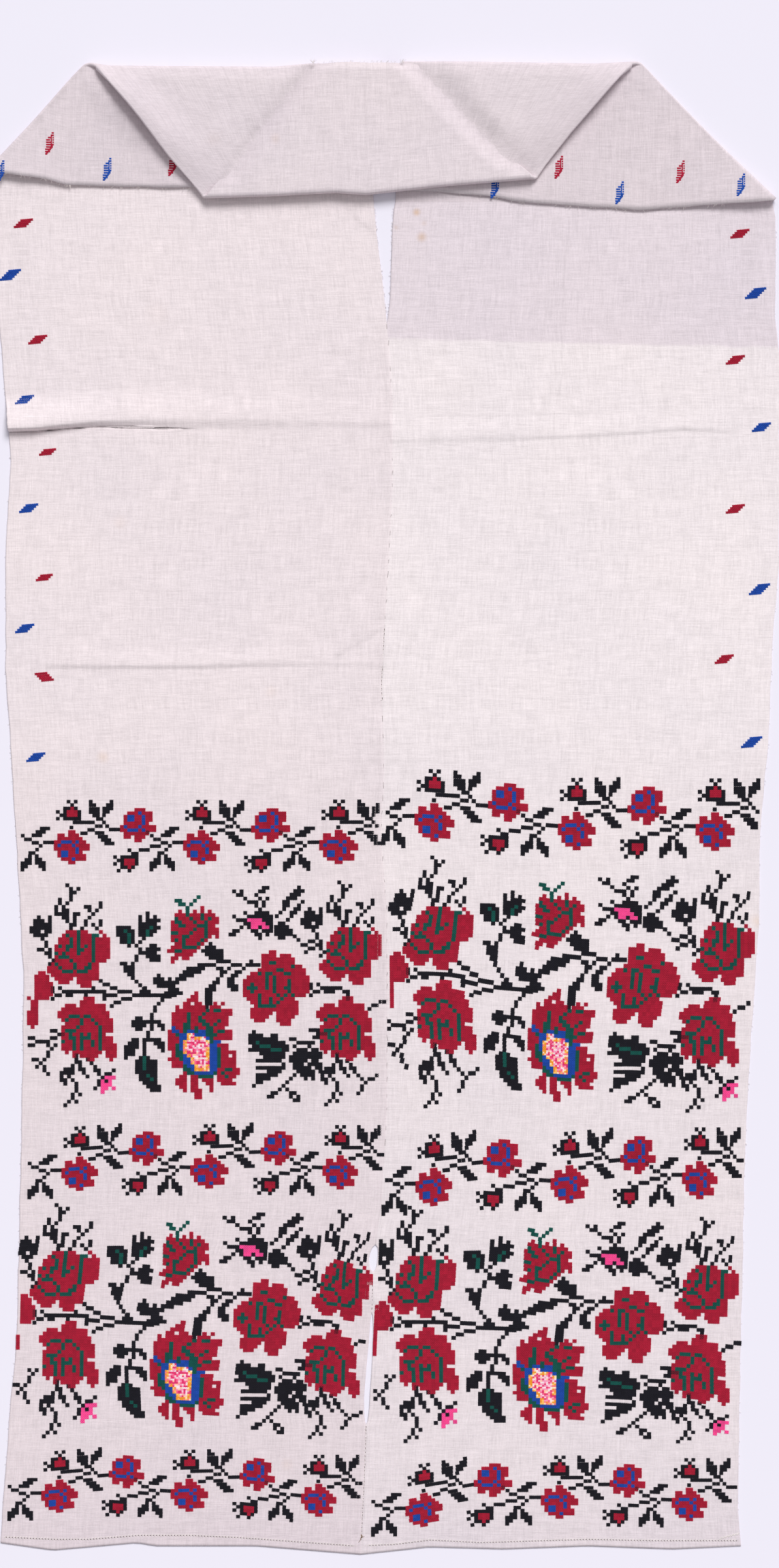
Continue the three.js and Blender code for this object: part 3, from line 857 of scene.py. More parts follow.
# Charts of the embroidery, one sign for each block of four crosses.
# k black, r red, b blue, g green, p pink, h the variegated heart.
CHARTS = {
    "vein_rose": (
        ".....rrrgrr...r..", "....rgrrgrrrgg.r.", "...rrrgrgrrrgrrrr", "...rrrgrgrrrgrrrr",
        "..rgrggrgrgrgrrrr", "..rrrgrrggrrgrrrr", "..grgrrrgrrrgrrrr", "..rgggrrrrrrgrrrr",
        "..rrrrgrrrrrgrrr.", ".rgrrrrgrrrgrr...", "rrrgrrrgrrggrr...", "rrrrgggrgggrrr...",
        ".rrrrrrrrrrrrr...", "..rrrrr.rrrrrr...", "...rrr..rrrr.....", ".........rrr.....",
    ),
    "twigs_above": (
        "...k.........", "....k.k......", "....kk.......", "....k........", ".k..k........",
        ".k.k........k", "k.k.....kk..k", "k.kk.....k.k.", "kkkk.kk...k..", "..kk.k...k...",
        "...k.k..k...k", "....kk..k.k.k", "....k..k...k.",
    ),
    "sprig": (
        "..k..k.", ".kkk.k.", ".kkkkk.", "kkkkkk.", "kkk.kk.", ".kkkk..", "...k...", "....k..",
        "....k..", "..kk.k.", "kk..kk.", "..kk.k.", ".k....k", ".....k.",
    ),
    "sprig_edge": (
        "..k..k.", ".kkk.k.", ".kkkkk.", "kkkkkk.", "kkk.kk.", ".kkkk..", "...k...", "....k..",
        "....k..", "..kk.k.", "....kk.", ".....k.", "......k", ".....k.",
    ),
    "bug_bud": (
        ".........kk.", ".k.k....kk..", "..kk...k....", "....k...k.k.", ".....kkk.k..",
        ".......k.k..", "........k...", "....k..kkkk.", ".k...kkkkkkk", "..kkkppppkkk",
        "....kkppppkk", "...k.kppkppk", ".kk...kk.kkk", "kk.....kk.k.", "........k...",
    ),
    "round_leaf": (".kk..", "kkkk.", "kkkkk", "kkkkk", ".kk.."),
    "round_leaf_stem": ("k.", ".k"),
    "slant_leaves": (
        "......k.", ".....kkk", "....kkk.", "...kkk..", "..kk...k", "..kk..k.", "..k..kk.",
        ".k..kk..", "k...k...", "...k....",
    ),
    "great_rose": (
        ".......rr.........", ".....rrrr.rrr.....", ".....rrrrrrrrr....", ".....rrggrrrrr....",
        ".....rrrrrrrrgrr..", "....rrrrrggrrrrrr.", "..rrgrggrrrggrrrr.", ".rrrrrgrgrrrrrrrrr",
        "rrrrrrgrgrrrgrrrrr", "rrgrrrgrgrrrgrrrrr", "rgggrrgrgrrggrrrrr", "rrgrrrrrgrrrgrrrrr",
        "rrrrgrrrrgrgrgrrr.", ".rrrgrrgrrgrrr....", "..rrgrrgrgrrrrr...", "...rgggggrrrrrr...",
        "..rrrrrrrrrrrrr...", "..rrrrrr.rrrrrr...", "..rrrrr..rrrrr....", "...rrr...rrrr.....",
        "..........rrr.....",
    ),
    "lower_rose": (
        ".......rrr......", "......rrrr......", "..rrr.rrrrrrr...", ".rrrrrrrrrrrr...",
        "rrrrrrrrrrrrrr..", "rrrgggrggrrrrr..", ".rgrrrgrrgrrrrr.", "..rrrrgrrrgrrrr.",
        ".rrrrgrrrrrgrrr.", ".rgggrrrrrrgrrr.", ".rrgrrgrgrrgr...", ".rrggrgggrrgrrr.",
        ".grrgrgrrgrgrrr.", ".rrrgrgrrgrgrrrr", ".rrrgrgrrrrgrrrr", "..r.rrrrrrrr.rrr",
        "....r.rrrrr..rrr", "........rr....r.",
    ),
    "rose_side": ("kkk....", "..kkk..", ".kk...."),
    "left_twigs": (
        "......kk..", "........kk", "kk....kk..", "..kkkk....", "kk...k.k..", "......k...",
        ".....k....", ".....k....", ".kk.k.....", "...k......", "..k.k.....", "....k.....",
        ".....k....",
    ),
    "under_twigs": (
        "....k...", "....k...", "....kk..", "...k.k..", ".kkk.kk.", "kkkk..k.", "k.k....k",
        "kk.k....", ".k..k...", "....k...", "....k...", "...k.k..", "...k....", "..k.k...",
        ".k......",
    ),
    "bud_twig": (
        "k.......", ".k......", "..k.....", "..kk...k", "...k.kk.", "....kppp", "...kpkp.",
        "...kppp.", "..k.pp.p", "....p...",
    ),
    "forked_twig": (
        "k........", ".k.......", ".kk......", "..k......", "...k....k", "....k.kk.",
        ".....k...", "....k....", "....k....", "...k.....",
    ),
    "red_lobes": (
        "...rr..", "..rrrr.", "..rrrr.", "..rrrrr", "..rrrrr", "..rrrrr", "..rrrrr", "r.rrrr.",
        ".rr....", ".rr....", ".rr....", "rrr....", "rrr....", "rrr....", "rrr....", ".r.....",
    ),
    "stems_left": (
        ".............k....................", "..............kk..................",
        "k.k........k....kk.......k........", "k..kkkkkkkkkkkk...kkkk..kkk.......",
        ".kk.kk...k....kkkk....kkkkkkkkkkkk", "k.............k....kkk............",
        ".................kk...............", "................k.................",
    ),
    "stems_right": ("k.k........", "k..kkkkkk..", ".kk.kkk..kk", "k.........k", "..........k"),
    "tendril": ("...kk", ".kk..", "k...."),
    "leaf_spray": (
        "........k....", "......k.k.k..", "......k.kkkk.", "......kkkkk..", "kkkk..kkkgkk.",
        "kkgkk.kkgkk..", "kkkgk.kkgk...", ".kkgk..k.....", ".kkgk.k......", "...k.k...kk..",
        "......k.kkkk.", "......kkkkk..", ".....k..kkkk.", ".....k...kkk.", ".kk.k........",
        "..kkk........", "..kkk........", "...kk........", "....k........", ".....k.......",
        "......k......", ".......k.....",
    ),
    "crowned_rose": (
        "........g.....", "..gg...g......", "...gg.g.......", ".....g...r....",
        "...r.g.r.r.r..", "..rrrgrrrgrrr.", "..grrrgrrgrgrr", ".rggrrrgrrgrrr",
        ".rrggrrrgggrr.", ".rrrrrrgrrgrrr", ".ggrrrgrrrgrrr", ".rrrggrrrrgr.r",
        ".rgrgrrrrgr...", "..rrgrrrgr....", ".rrrggggr.....", "rrggrrrr......",
        "..rrrrr.......", ".rr.rr........", ".r............",
    ),
    "branch": (
        "...............k..............", "..............kkk.............",
        ".............kkkkkk...........", "..............kkkkk...........",
        "...............kkkk...........", ".................kkkk.....k...",
        "............kkkkk....kkk.kkkk.", ".........kkkkk...kk.k...k.....",
        "........kkkkk.....kk..kk......", ".k.....kkkk.......k..kk.......",
        "kkk.k.kkk........k..kk........", "kkkkkkk.........kk..kk........",
        ".kkkkk.........kk...kkk.......", "....kkk.......kkk....kk.......",
        "...kkkkk......kk..............", "..kkk.........kk..............",
        "..k...........kk..............", ".k............kk..............",
        "k.............k...............", "k.............................",
    ),
    "hanging_leaves": (
        ".......k....", "...kk..k....", "..kkkkkkkk..", "..kkkk.k.kk.", "...kk..k..k.",
        "......k.....", "......k.....", "..kk.kkkkk..", ".kkk.k..kkk.", "kkkk.k...kk.",
        "kkk..k....k.", "kkk..k......", "k...kgk.....", "...kkgkkk...", "...kkgkkk...",
        "...kkgkkk...", "...kkkkkk...", "....kkgkk...", "....kkkgk...", ".....kkkk...",
        "......kkkk..", ".......kkk..",
    ),
    "heart_rose": (
        ".......r...........", "......rr...........", ".....rrr...........",
        "....rr.rr...r.r....", "..r.rrrrrr.rrr.....", "..rrrrrrrrgrggrrr..",
        ".rrrrgrrrgrrrrrrr..", ".rrrrgrrgrrrrrrr...", ".rrrrgrrggrrrgrr...",
        ".rrrggrrrggrgrrr...", ".brrggrgrrggrrr....", "rbbrgbbgbbggrggrr..",
        "rrgbbhhbbbgggrrrr..", "rrrbbhhhhhbgrrrrr..", "rrrbhhhhhhhgbb.....",
        "rrgbhhhhhhhbbrrr...", "rrgbhhhhhhhbbgrr...", ".rgghhhhhhhbbgrrrr.",
        ".rggbhhhhhhbbgrr.r.", "rrrgbbhhhhhbbgrrrr.", ".rrrbbhhhhhbbgrrrr.",
        ".rrrgbbhhhhbbgrrrr.", "....ggbhhhhbbrrggrr", "....rggbbbbbgrgrrrr",
        "...rr.rrgggg.rrgrr.", "..rrr.rr.rrr.rrrr..", "..rrr.rr..rr..rrrr.",
        "...rr.rr...r.......", "....r.rrr..r.......", ".......rr..........",
        ".......rr..........",
    ),
    "leaf_cluster": (
        ".k...................", "kkkk..kk.............", "kkkkkkkk...kk........",
        "kkgkkkkkkk...kkkkk...", ".kkgggkkkkk.k...k....", "kkkkkkgggkk..kkk.kk..",
        "...kkkkkkk..kkkkkkkk.", "....kkkkkk.kkkkkkkkk.", "..kkkkkkk..kkkkk.kk..",
        ".........k..kkk.kkkk.", "..kkkkkkkk..kkkkk.kk.", ".....kkkk....kkkkk.k.",
        "..kkkkkk....k.kkkk...", "..kkkk.....k...k.k...", "..kk......k..........",
        ".k.......k...........", "........k.k..........", "......kk...kk........",
        ".....kk....k.k.......", "............kk.......",
    ),
    "strip_bud": ("...k.k.", "....k..", "..kkrk.", "k.krrrk", ".kkrrrk", "k.kkkkk"),
    "strip_rose": (
        "....rr....", ".rr.rrr...", ".rrrrrrr..", "rrbbbrbrr.", "rbrrrbrrrr", "rrrrrrbrrr",
        ".rbbrrbr..", ".rbbrrrrr.", "..rrrbrrr.", "....rr....",
    ),
    "strip_high_rose": (
        "....rrr...", "..rrrbrrr.", ".rbbrrbrr.", ".rbbrrbrr.", ".rrrrrbr..", "rbrrrbrrrr",
        "rrbbbrbrrr", ".rrrrrrr..", ".rr.rrr...", "....rr....",
    ),
    "strip_low_bud": ("....k..", ".....kk", "k.kkkkk", ".kkrrrk", "k.krrrk", "..kkrk.", ".k..k.."),
}

# The same twigs with no upper branch.
CHARTS["left_twigs_short"] = ("." * 10,) * 4 + CHARTS["left_twigs"][4:]

# One big garland: chart, across, down, in units of 5.5 steps.
GARLAND = [
    ("twigs_above", 8.8, 0.4), ("vein_rose", 6.8, 13.4),
    ("sprig_edge", 1.9, 9.3), ("twigs_above", 84.5, -0.4),
    ("vein_rose", 82.5, 12.6), ("sprig", 77.3, 7.0),
    ("bug_bud", 57.3, 1.1), ("round_leaf", 70.0, 11.0),
    ("round_leaf_stem", 75.2, 14.6), ("slant_leaves", 70.2, 1.0),
    ("great_rose", 61.3, 19.0), ("lower_rose", 81.7, 31.8),
    ("rose_side", 79.6, 40.7), ("lower_rose", 9.7, 31.9),
    ("under_twigs", 10.3, 47.6), ("under_twigs", 82.9, 47.4),
    ("red_lobes", 1.2, 24.8), ("stems_left", 7.8, 27.0),
    ("stems_right", 79.7, 28.0), ("tendril", 96.0, 32.8),
    ("leaf_spray", 26.0, 8.2), ("crowned_rose", 40.2, 3.7),
    ("branch", 36.3, 16.7), ("hanging_leaves", 28.2, 36.4),
    ("heart_rose", 40.4, 30.45), ("leaf_cluster", 62.8, 41.2),
]
# A block's width and height in those units, and the two motifs whose blocks differ.
BLOCK_SIZE = (1.03, 1.0)
BLOCK_SIZES = {"branch": (1.03, 0.98), "heart_rose": (1.055, 0.967)}
GARLAND_UNIT = 5.5
GARLAND_CORNER = (35, 1350)

# Places on the garland whose shift is known: name, across, down.
GARLAND_MARKS = [
    ("a", 6.8, 24.3), ("b", 10.2, 1.9), ("c1", 9.7, 36.5), ("c2", 26, 47.2), ("d", 22.3, 59.5),
    ("e1", 34.7, 8.2), ("e2", 26, 13), ("f1", 54.6, 10.5), ("f2", 45.9, 7), ("g1", 36.8, 58.2),
    ("g2", 35.9, 38.7), ("h1", 48.4, 60.5), ("h2", 40.5, 46), ("i1", 57.3, 15), ("i2", 65.5, 12),
    ("j1", 69.7, 19), ("j2", 61.3, 29), ("j3", 72.8, 39.7), ("k1", 63.8, 56.4), ("k2", 82.5, 48),
    ("l", 77.4, 10.5), ("m1", 100.2, 17), ("m2", 82.5, 23.8), ("m3", 87, 0), ("n1", 81.7, 36.9),
    ("n2", 96.3, 49.4), ("n3", 87.4, 61.5),
]

# How far a mark's shift reaches, as a square of garland units.
MARK_REACH = 110

# The four big garlands: each is worked by eye, so its motifs drift from the first one's.
# For every mark above, how far across and down it lies from the first garland's, in steps.
GARLAND_SHIFTS = {
    "upper_left": [(0, 0)] * 27,
    "lower_left": [
        (-26.3, 493.3), (-16.4, 489.3), (-28.8, 496.9), (-27.8, 495.7), (-33.3, 507.5),
        (-0.1, 486.5), (-19, 491.1), (-21.3, 498.8), (-18.5, 499), (-19.6, 494.9),
        (-27.8, 500.7), (-32.5, 502.4), (-28.5, 508.3), (-12.4, 499.9), (-3.8, 499.4),
        (-17.8, 504.5), (-14.1, 506.4), (-17.3, 503.2), (-24.2, 506.8), (-25.8, 509.2),
        (-1.7, 498.8), (-14.6, 520.7), (-9.1, 515.1), (1.2, 503.8), (-22.2, 504.6),
        (-24.2, 518.2), (-24.8, 508.5),
    ],
    "upper_right": [
        (543.6, -30.7), (559, -43.1), (544.6, -25.6), (549.2, -19.5), (551.6, 3.3),
        (561.3, -35.5), (555.7, -34.3), (557.4, -20.6), (555.7, -19.5), (555.9, -5.7),
        (554.7, -11.3), (547.7, 5.5), (548.1, 7.4), (560.8, -17.7), (566.4, -16.6),
        (560.8, -9.2), (556.2, 3.5), (552.7, 1.4), (546.6, 7), (550.8, 12.6),
        (568, -14.5), (570.4, -3.5), (577.6, 3.7), (580.9, -16.3), (553.6, -1.4),
        (557.3, 9), (553.5, 9.3),
    ],
    "lower_right": [
        (522.5, 504.5), (524.1, 493), (517, 506.4), (522, 506.4), (520.8, 514.6),
        (547.9, 491.7), (526, 499.8), (538.4, 513.5), (537.5, 507.6), (527.5, 501.9),
        (526.3, 509.3), (528.6, 508.7), (530.2, 515.1), (541.7, 512.3), (547.3, 513.4),
        (536, 515.5), (539.2, 517.3), (539.3, 515.2), (534.4, 513.9), (535, 521.5),
        (546.4, 515.5), (546, 519.2), (546.7, 519.5), (556.5, 514.5), (538.6, 514.4),
        (543.1, 530.9), (539.3, 513.8),
    ],
}
# The twigs at the foot of each garland, which differ: beside the left and the right lower rose.
GARLAND_FEET = {
    "upper_left": ("left_twigs", "bud_twig", "forked_twig"),
    "lower_left": ("left_twigs_short", "bud_twig", "forked_twig"),
    "upper_right": ("left_twigs", "forked_twig", "bud_twig"),
    "lower_right": ("left_twigs_short", "bud_twig", "bud_twig"),
}
GARLAND_FEET_PLACES = [(1.4, 40.9), (17.6, 48.9), (89.8, 49.3)]

# The small garlands: for each repeat, the lower rose's left edge and top, and the high rose's.
STRIP_UNIT = 36
STRIPS = {
    "first_left": (5.2, [(82.7, 1270.7), (280.6, 1270.7), (488.9, 1270.3)],
                   [(184, 1236.9), (384.7, 1237.7)]),
    "first_right": (5.85, [(634.7, 1227.8), (854.2, 1243.2), (1065.2, 1243.6)],
                    [(747.5, 1196.5), (960.9, 1203.4)]),
    "second_left": (5.2, [(94.2, 1772.3), (291.3, 1767.9), (494, 1768.3)],
                    [(197.5, 1730.9), (399.4, 1730.1)]),
    "second_right": (5.8, [(636.3, 1790.6), (843.2, 1786.2), (1044.5, 1777.2)],
                     [(739.8, 1741.9), (949.9, 1738.7)]),
    "third_left": (5.0, [(63.5, 2267), (261.5, 2264), (461.2, 2271)],
                   [(166.7, 2225.8), (367, 2228.9)]),
    "third_right": (5.1, [(621, 2290), (828.2, 2273.2), (1028.6, 2277)],
                    [(725.7, 2239.6), (933.8, 2239.6)]),
}
# Leaves and stems, as runs of blocks: first, last, row. Above a low rose, then after a high one.
STRIP_UPPER = [
    (9.8, 9.8, 1.1), (9.8, 10.8, 2.1), (9.8, 11.8, 3.2), (9.8, 11.8, 4.2), (10.8, 11.8, 5.2),
    (11.8, 12.8, 6.2), (15.6, 15.6, 1.1), (14.6, 15.6, 2.1), (13.6, 15.6, 3.1),
    (13.6, 14.6, 4.1), (13.5, 13.5, 5.1), (5.3, 10.4, 7.2), (4.4, 4.4, 8.7), (13.5, 13.5, 7.2),
    (14.4, 14.4, 8.3), (11.5, 12.6, 8.3), (9.4, 10.4, 9.4), (7.4, 8.4, 10.4),
    (15.4, 17.5, 9.3), (11.5, 13.1, 10.3), (12.3, 14.1, 11.4), (13.2, 15.0, 12.4),
    (14.1, 15.9, 13.4),
]
STRIP_LOWER = [
    (25.6, 25.6, 10.1), (26.8, 26.8, 11.1), (27.7, 28.8, 12.2), (29.8, 30.8, 13.2),
    (31.8, 31.8, 14.1), (33, 35.1, 13.1), (32.1, 33.9, 9.0), (30.9, 32.7, 10.0),
    (29.8, 31.7, 11.0), (30.8, 30.8, 15.2), (28.9, 29.8, 16.2), (28.8, 28.8, 17.2),
    (27.8, 28.8, 18.2), (26.7, 28.8, 19.2), (26.7, 27.7, 20.2), (26.7, 26.7, 21.1),
    (30.7, 30.7, 17.1), (30.7, 31.7, 18.1), (30.7, 32.7, 19.1), (31.7, 32.7, 20.1),
    (32.7, 32.7, 21.0),
]
STRIP_LOW_STEM = [(26.8, 28.8, 14.2), (23.7, 25.7, 15.3)]

# The slanted marks along the outer edges: across, down, rows, colour, side that they slant to.
EDGE_MARKS = [
    (36, 342, 4, "r", 1), (16, 421, 5, "b", 1), (58, 520, 4, "r", 1), (38, 612, 4, "b", 1),
    (73, 692, 3, "r", 1), (44, 778, 4, "b", 1), (68, 884, 3, "r", 1), (38, 962, 4, "b", 1),
    (68, 1036, 4, "r", -1), (55, 1159, 4, "b", 1), (1133, 358, 4, "r", 1),
    (1157, 449, 5, "b", 1), (1126, 551, 4, "r", 1), (1166, 654, 4, "b", 1),
    (1126, 779, 4, "r", 1), (1163, 902, 5, "b", 1), (1109, 1009, 4, "r", 1),
    (1151, 1136, 5, "b", 1),
]
# A mark's row height, a cross's width and how far it climbs, in steps, and the crosses in a row.
MARK_ROW = 3.3
MARK_CROSS = 2.75
MARK_TILT = 0.25
MARK_CROSSES = 7

# The marks' reverse side, as it shows on the flap: floats of yarn with a slanted foot.
LADDER = (
    ".......rr", ".........", "......rrr", "......r..", "...rrrr.r", "......r..", ".rrrr.r.r",
    "......r..", ".rrrrrr.r", "......r..", ".rrrrrrrr", "......rr.", ".rrrrrrr.", ".....rr..",
    "rrrrrr...", "...rr....", "rrrrr....", ".rr......", "rr.......",
)
# The ladder's column and row in steps, and a stitch's length and width in millimetres.
LADDER_STEP = (1.4, 1.8)
LADDER_STITCH = (1.3, 1.7)
LADDER_MIDDLE = (4, 9)
LADDER_SHIFT = (1.5, 1)
# Where they are on the flap: across, down, colour.
FLAP_MARKS = [
    (0, 264, "b"), (75, 220, "r"), (163, 259, "b"), (263, 252, "r"), (756, 286, "b"),
    (854, 256, "r"), (947, 295, "b"), (1040, 263, "r"), (1132, 284, "b"),
]

# Fine creases, darkened with painted shade: from, to, half width in millimetres, depth.
SHADED_CREASES = [
    ((871, 332), (861, 461), 1.6, 0.055), ((861, 461), (859, 574), 1.4, 0.045),
    ((859, 574), (849, 635), 1.6, 0.05), ((849, 635), (846, 668), 1.4, 0.045),
    ((90, 678), (350, 679), 2.2, 0.035), ((70, 1024), (330, 1022), 3.5, 0.04),
    ((330, 1022), (520, 1000), 3.5, 0.03), ((517, 1002), (587, 964), 4.5, 0.07),
    ((605, 684), (770, 676), 2.6, 0.04), ((770, 676), (1090, 657), 3.0, 0.04),
    ((640, 640), (930, 634), 2.2, 0.03), ((620, 702), (1080, 704), 2.6, 0.02),
    ((600, 985), (655, 1012), 3.5, 0.03), ((517, 300), (545, 335), 5.0, 0.05),
    ((545, 335), (578, 362), 5.0, 0.06), ((558, 98), (560, 290), 2.4, 0.03),
    ((478, 100), (392, 200), 9.0, 0.07), ((392, 200), (325, 294), 7.0, 0.05),
    ((680, 105), (752, 200), 16.0, 0.08), ((752, 200), (812, 258), 13.0, 0.07),
    ((590, 960), (578, 1075), 3.0, 0.035), ((980, 545), (985, 760), 2.0, 0.015),
    ((720, 545), (722, 960), 1.8, 0.012), ((300, 330), (310, 620), 2.0, 0.015),
]
# The line across the right arm above which it is greyer: its two ends, and half its soft edge.
GREY_LINE = [(600, 518), (1182, 532)]
GREY_EDGE = 0.0015
GREY_TINT = (0.89, 0.868, 0.905, 1)
# The warmer tint of the cloth's clouds, and the brown of a stain.
CLOUD_TINT = (1.0, 0.985, 0.945, 1)
STAIN_TINT = (0.86, 0.66, 0.42, 1)

# Painted shade: the cloth darkened towards its hems, at 0, up to the bridge: a tint at each place.
SHADE_TOWARDS_HEMS = [
    (0.0, (0.86, 0.84, 0.875)), (0.05, (0.905, 0.89, 0.91)), (0.5, (0.955, 0.95, 0.955)),
    (0.56, (1, 1, 1)),
]

# Stains: across, down, radius, strength.
STAINS = [
    (639, 325, 9, 0.75), (646, 364, 11, 0.6), (608, 349, 6, 0.25), (650, 343, 7, 0.2),
    (423, 215, 12, 0.18), (158, 1160, 14, 0.28), (185, 800, 16, 0.1), (415, 1060, 15, 0.1),
    (1160, 1410, 16, 0.3), (440, 2240, 14, 0.14), (330, 215, 18, 0.06), (240, 480, 30, 0.05),
]

# The hem's openwork line: across, down.
HEM_LINE = [
    (-6, 2352), (82, 2356), (134, 2356), (210, 2350), (290, 2350), (360, 2353), (540, 2366),
    (600, 2364), (657, 2357), (734, 2361), (830, 2358), (900, 2356), (1000, 2358), (1130, 2358),
]
HEM_STEP = 4.6
# How far the hem's stitches stay off the selvedges and off the seam, in millimetres.
HEM_CLEAR = 1.2
HEM_SEAM_CLEAR = 1.5
# A light stitch and the painted shade of the pulled holes beside it, as (right, lower, length,
# width), and how they lean.
HEM_STITCH = (0, -0.3, 2.3, 0.8)
HEM_LEANS = (0.9, 1.3)
HEM_HOLE_SHADE = (1.35, 0, 0.9, 0.9)
HOLE_SHADE_LEAN = 0.3
# The wider stitches at the right end of the hem: how many, the first, the step and the lean.
WIDE_STITCHES = 7
WIDE_FIRST = (1104, 2354)
WIDE_STEP = (4.4, -1.1)
WIDE_STITCH = (0, 0, 3.6, 0.9)
WIDE_LEAN = 0.75

# The seam's dashes, dark ones of painted shade in its gap: from, to, step, strength.
SEAM_DASHES = [(500, 960, 22.0, 0.4), (964, 1071, 6.5, 1.0), (1100, 1760, 24.0, 0.4),
               (1962, 2065, 6.0, 0.9), (2184, 2352, 5.5, 1.0)]

# How the seam's direction is measured, and how a dash's step, length, side and turn differ.
SLOPE_REACH = 3
DASH_STEPS = (0.8, 1.2)
DASH_LENGTHS = (0.35, 0.75)
DASH_ASIDE = 0.3
DASH_TURN = 0.2
DASH_WIDTH = 0.75
# A stitch that whips over the seam, how far it stands above the dash, and its turns.
WHIP_STITCH = (-0.5, 1.4, 1.9, 0.55)
WHIP_RISE = 0.25
WHIP_TURNS = (0.2, 0.7)

# The seam's mended end, as threads: across, down, length, turn. Their width and their place in z.
KNOT = [(553, 2353, 4.0, 1.2), (551, 2358, 4.5, 1.0), (554, 2350, 3.0, 2.4), (556, 2352, 3.5, 0.4)]
KNOT_WIDTH = 1.1
KNOT_LEVEL = 0.85

# Loose thread ends along an edge: how many, where along it, and their lengths in millimetres.
FLAP_ENDS = (110, (-372, 362), (1.2, 4.0))
TOP_ENDS = (46, (-70, 28), (1.0, 3.2))
OPENING_ENDS = (40, (128, 246), (0.9, 2.4))
SELVEDGE_ENDS = (90, (150, 1380), (0.8, 2.0))
# Bunches of them: x, how many, and the edge that they hang from.
BUNCHES = [(-69, 7, "top"), (15.5, 5, "top"), (-301, 8, "flap")]
BUNCH_LENGTHS = (2.5, 5.5)
BUNCH_TURN = 1.6
# How far an end turns aside, how much of its length lies off the edge, and its width.
END_TURN = 1.1
END_REACH = 0.38
END_WIDTHS = (0.22, 0.34)

# The small sewing: for each piece its yarn, its stitch, its height in metres, and its seed.
SMALL_SEWING = {
    # The hems' pulled holes and the seam's gaps are dark patches of painted shade.
    "hem_stitches": ("w", "float", 0.0006, 5), "hem_holes": ("d", "float", 0.0002, 6),
    "seam_gaps": ("d", "float", 0.0003, 7), "seam_stitches": ("w", "float", 0.0005, 8),
    "seam_knot": ("n", "float", 0.0009, 9), "frayed_threads": ("w", "hair", 0.00025, 10),
}
FLAP_MARK_HEIGHT = 0.0005

# Each sign's slot and dye. The sign d is painted shade for the pulled holes and the seam's gaps.
YARNS = {
    "k": ("black_yarn", "black"), "r": ("red_yarn", "red"), "b": ("blue_yarn", "blue"),
    "g": ("green_yarn", "green"), "p": ("pink_yarn", "pink"), "h": ("pink_yarn", "heart"),
    "y": ("orange_yarn", "rim"), "w": ("linen", "thread"), "d": ("linen", "hole"),
    "n": ("linen", "knot"),
}
# Yarn that is dyed in turns: its colours one after another along the thread.
TURNS = {
    "heart": [(0.0, (0.86, 0.05, 0.22)), (0.3, (0.95, 0.42, 0.60)), (0.55, (0.92, 0.80, 0.82)),
              (0.8, (0.90, 0.16, 0.34)), (0.92, (0.93, 0.62, 0.45))],
    "rim": [(0.0, (0.95, 0.42, 0.04)), (0.45, (0.95, 0.62, 0.18)), (0.7, (0.92, 0.25, 0.28)),
            (0.85, (0.93, 0.78, 0.55))],
}


def steps_to_towel(across, down):
    """A place on the layout grid as x and down on the towel, in millimetres."""
    return (across - GRID_MIDDLE) * GRID_STEP, (down - GRID_TOP) * GRID_STEP


def garland_place(shifts, across, down):
    """Where a place of the garland lies on the layout grid, drifting smoothly between marks."""
    total = 0.0
    right = 0.0
    lower = 0.0
    for (_, mark_across, mark_down), (shift_across, shift_down) in zip(GARLAND_MARKS, shifts):
        away = (across - mark_across) ** 2 + (down - mark_down) ** 2
        weight = math.exp(-away / MARK_REACH) + 1e-9
        total += weight
        right += weight * shift_across
        lower += weight * shift_down
    return (GARLAND_CORNER[0] + GARLAND_UNIT * across + right / total,
            GARLAND_CORNER[1] + GARLAND_UNIT * down + lower / total)


def chart_blocks(name):
    """The sewn blocks of a chart: colour, column, row. The heart's rim has its own yarn."""
    lines = CHARTS[name]
    for row, line in enumerate(lines):
        for column, sign in enumerate(line):
            if sign == "h" and (column + 2 * row) % 5 != 0:
                beside = line[column - 1] + line[column + 1] + lines[row - 1][column]
                beside += lines[row + 1][column]
                sign = "h" if beside == "hhhh" else "y"
            if sign != ".":
                yield sign, column, row


class Block:
    """One block of four crosses: its middle, width, height and turn, on the layout grid."""

    def __init__(self, sign, place, across, down, wide, high):
        left = place(across, down + high / 2)
        right = place(across + wide, down + high / 2)
        upper = place(across + wide / 2, down)
        lower = place(across + wide / 2, down + high)
        self.sign = sign
        self.across = (left[0] + right[0]) / 2
        self.down = (upper[1] + lower[1]) / 2
        self.wide = math.hypot(right[0] - left[0], right[1] - left[1])
        self.high = math.hypot(lower[0] - upper[0], lower[1] - upper[1])
        self.turn = -math.atan2(right[1] - left[1], right[0] - left[0])


def garland_blocks(name):
    """All blocks of one big garland."""
    shifts = GARLAND_SHIFTS[name]
    feet = GARLAND_FEET[name]
    layout = GARLAND + [
        (foot, across, down) for foot, (across, down) in zip(feet, GARLAND_FEET_PLACES)]

    def place(across, down):
        return garland_place(shifts, across, down)

    for chart, across, down in layout:
        wide, high = BLOCK_SIZES.get(chart, BLOCK_SIZE)
        for sign, column, row in chart_blocks(chart):
            yield Block(sign, place, across + column * wide, down + row * high, wide, high)


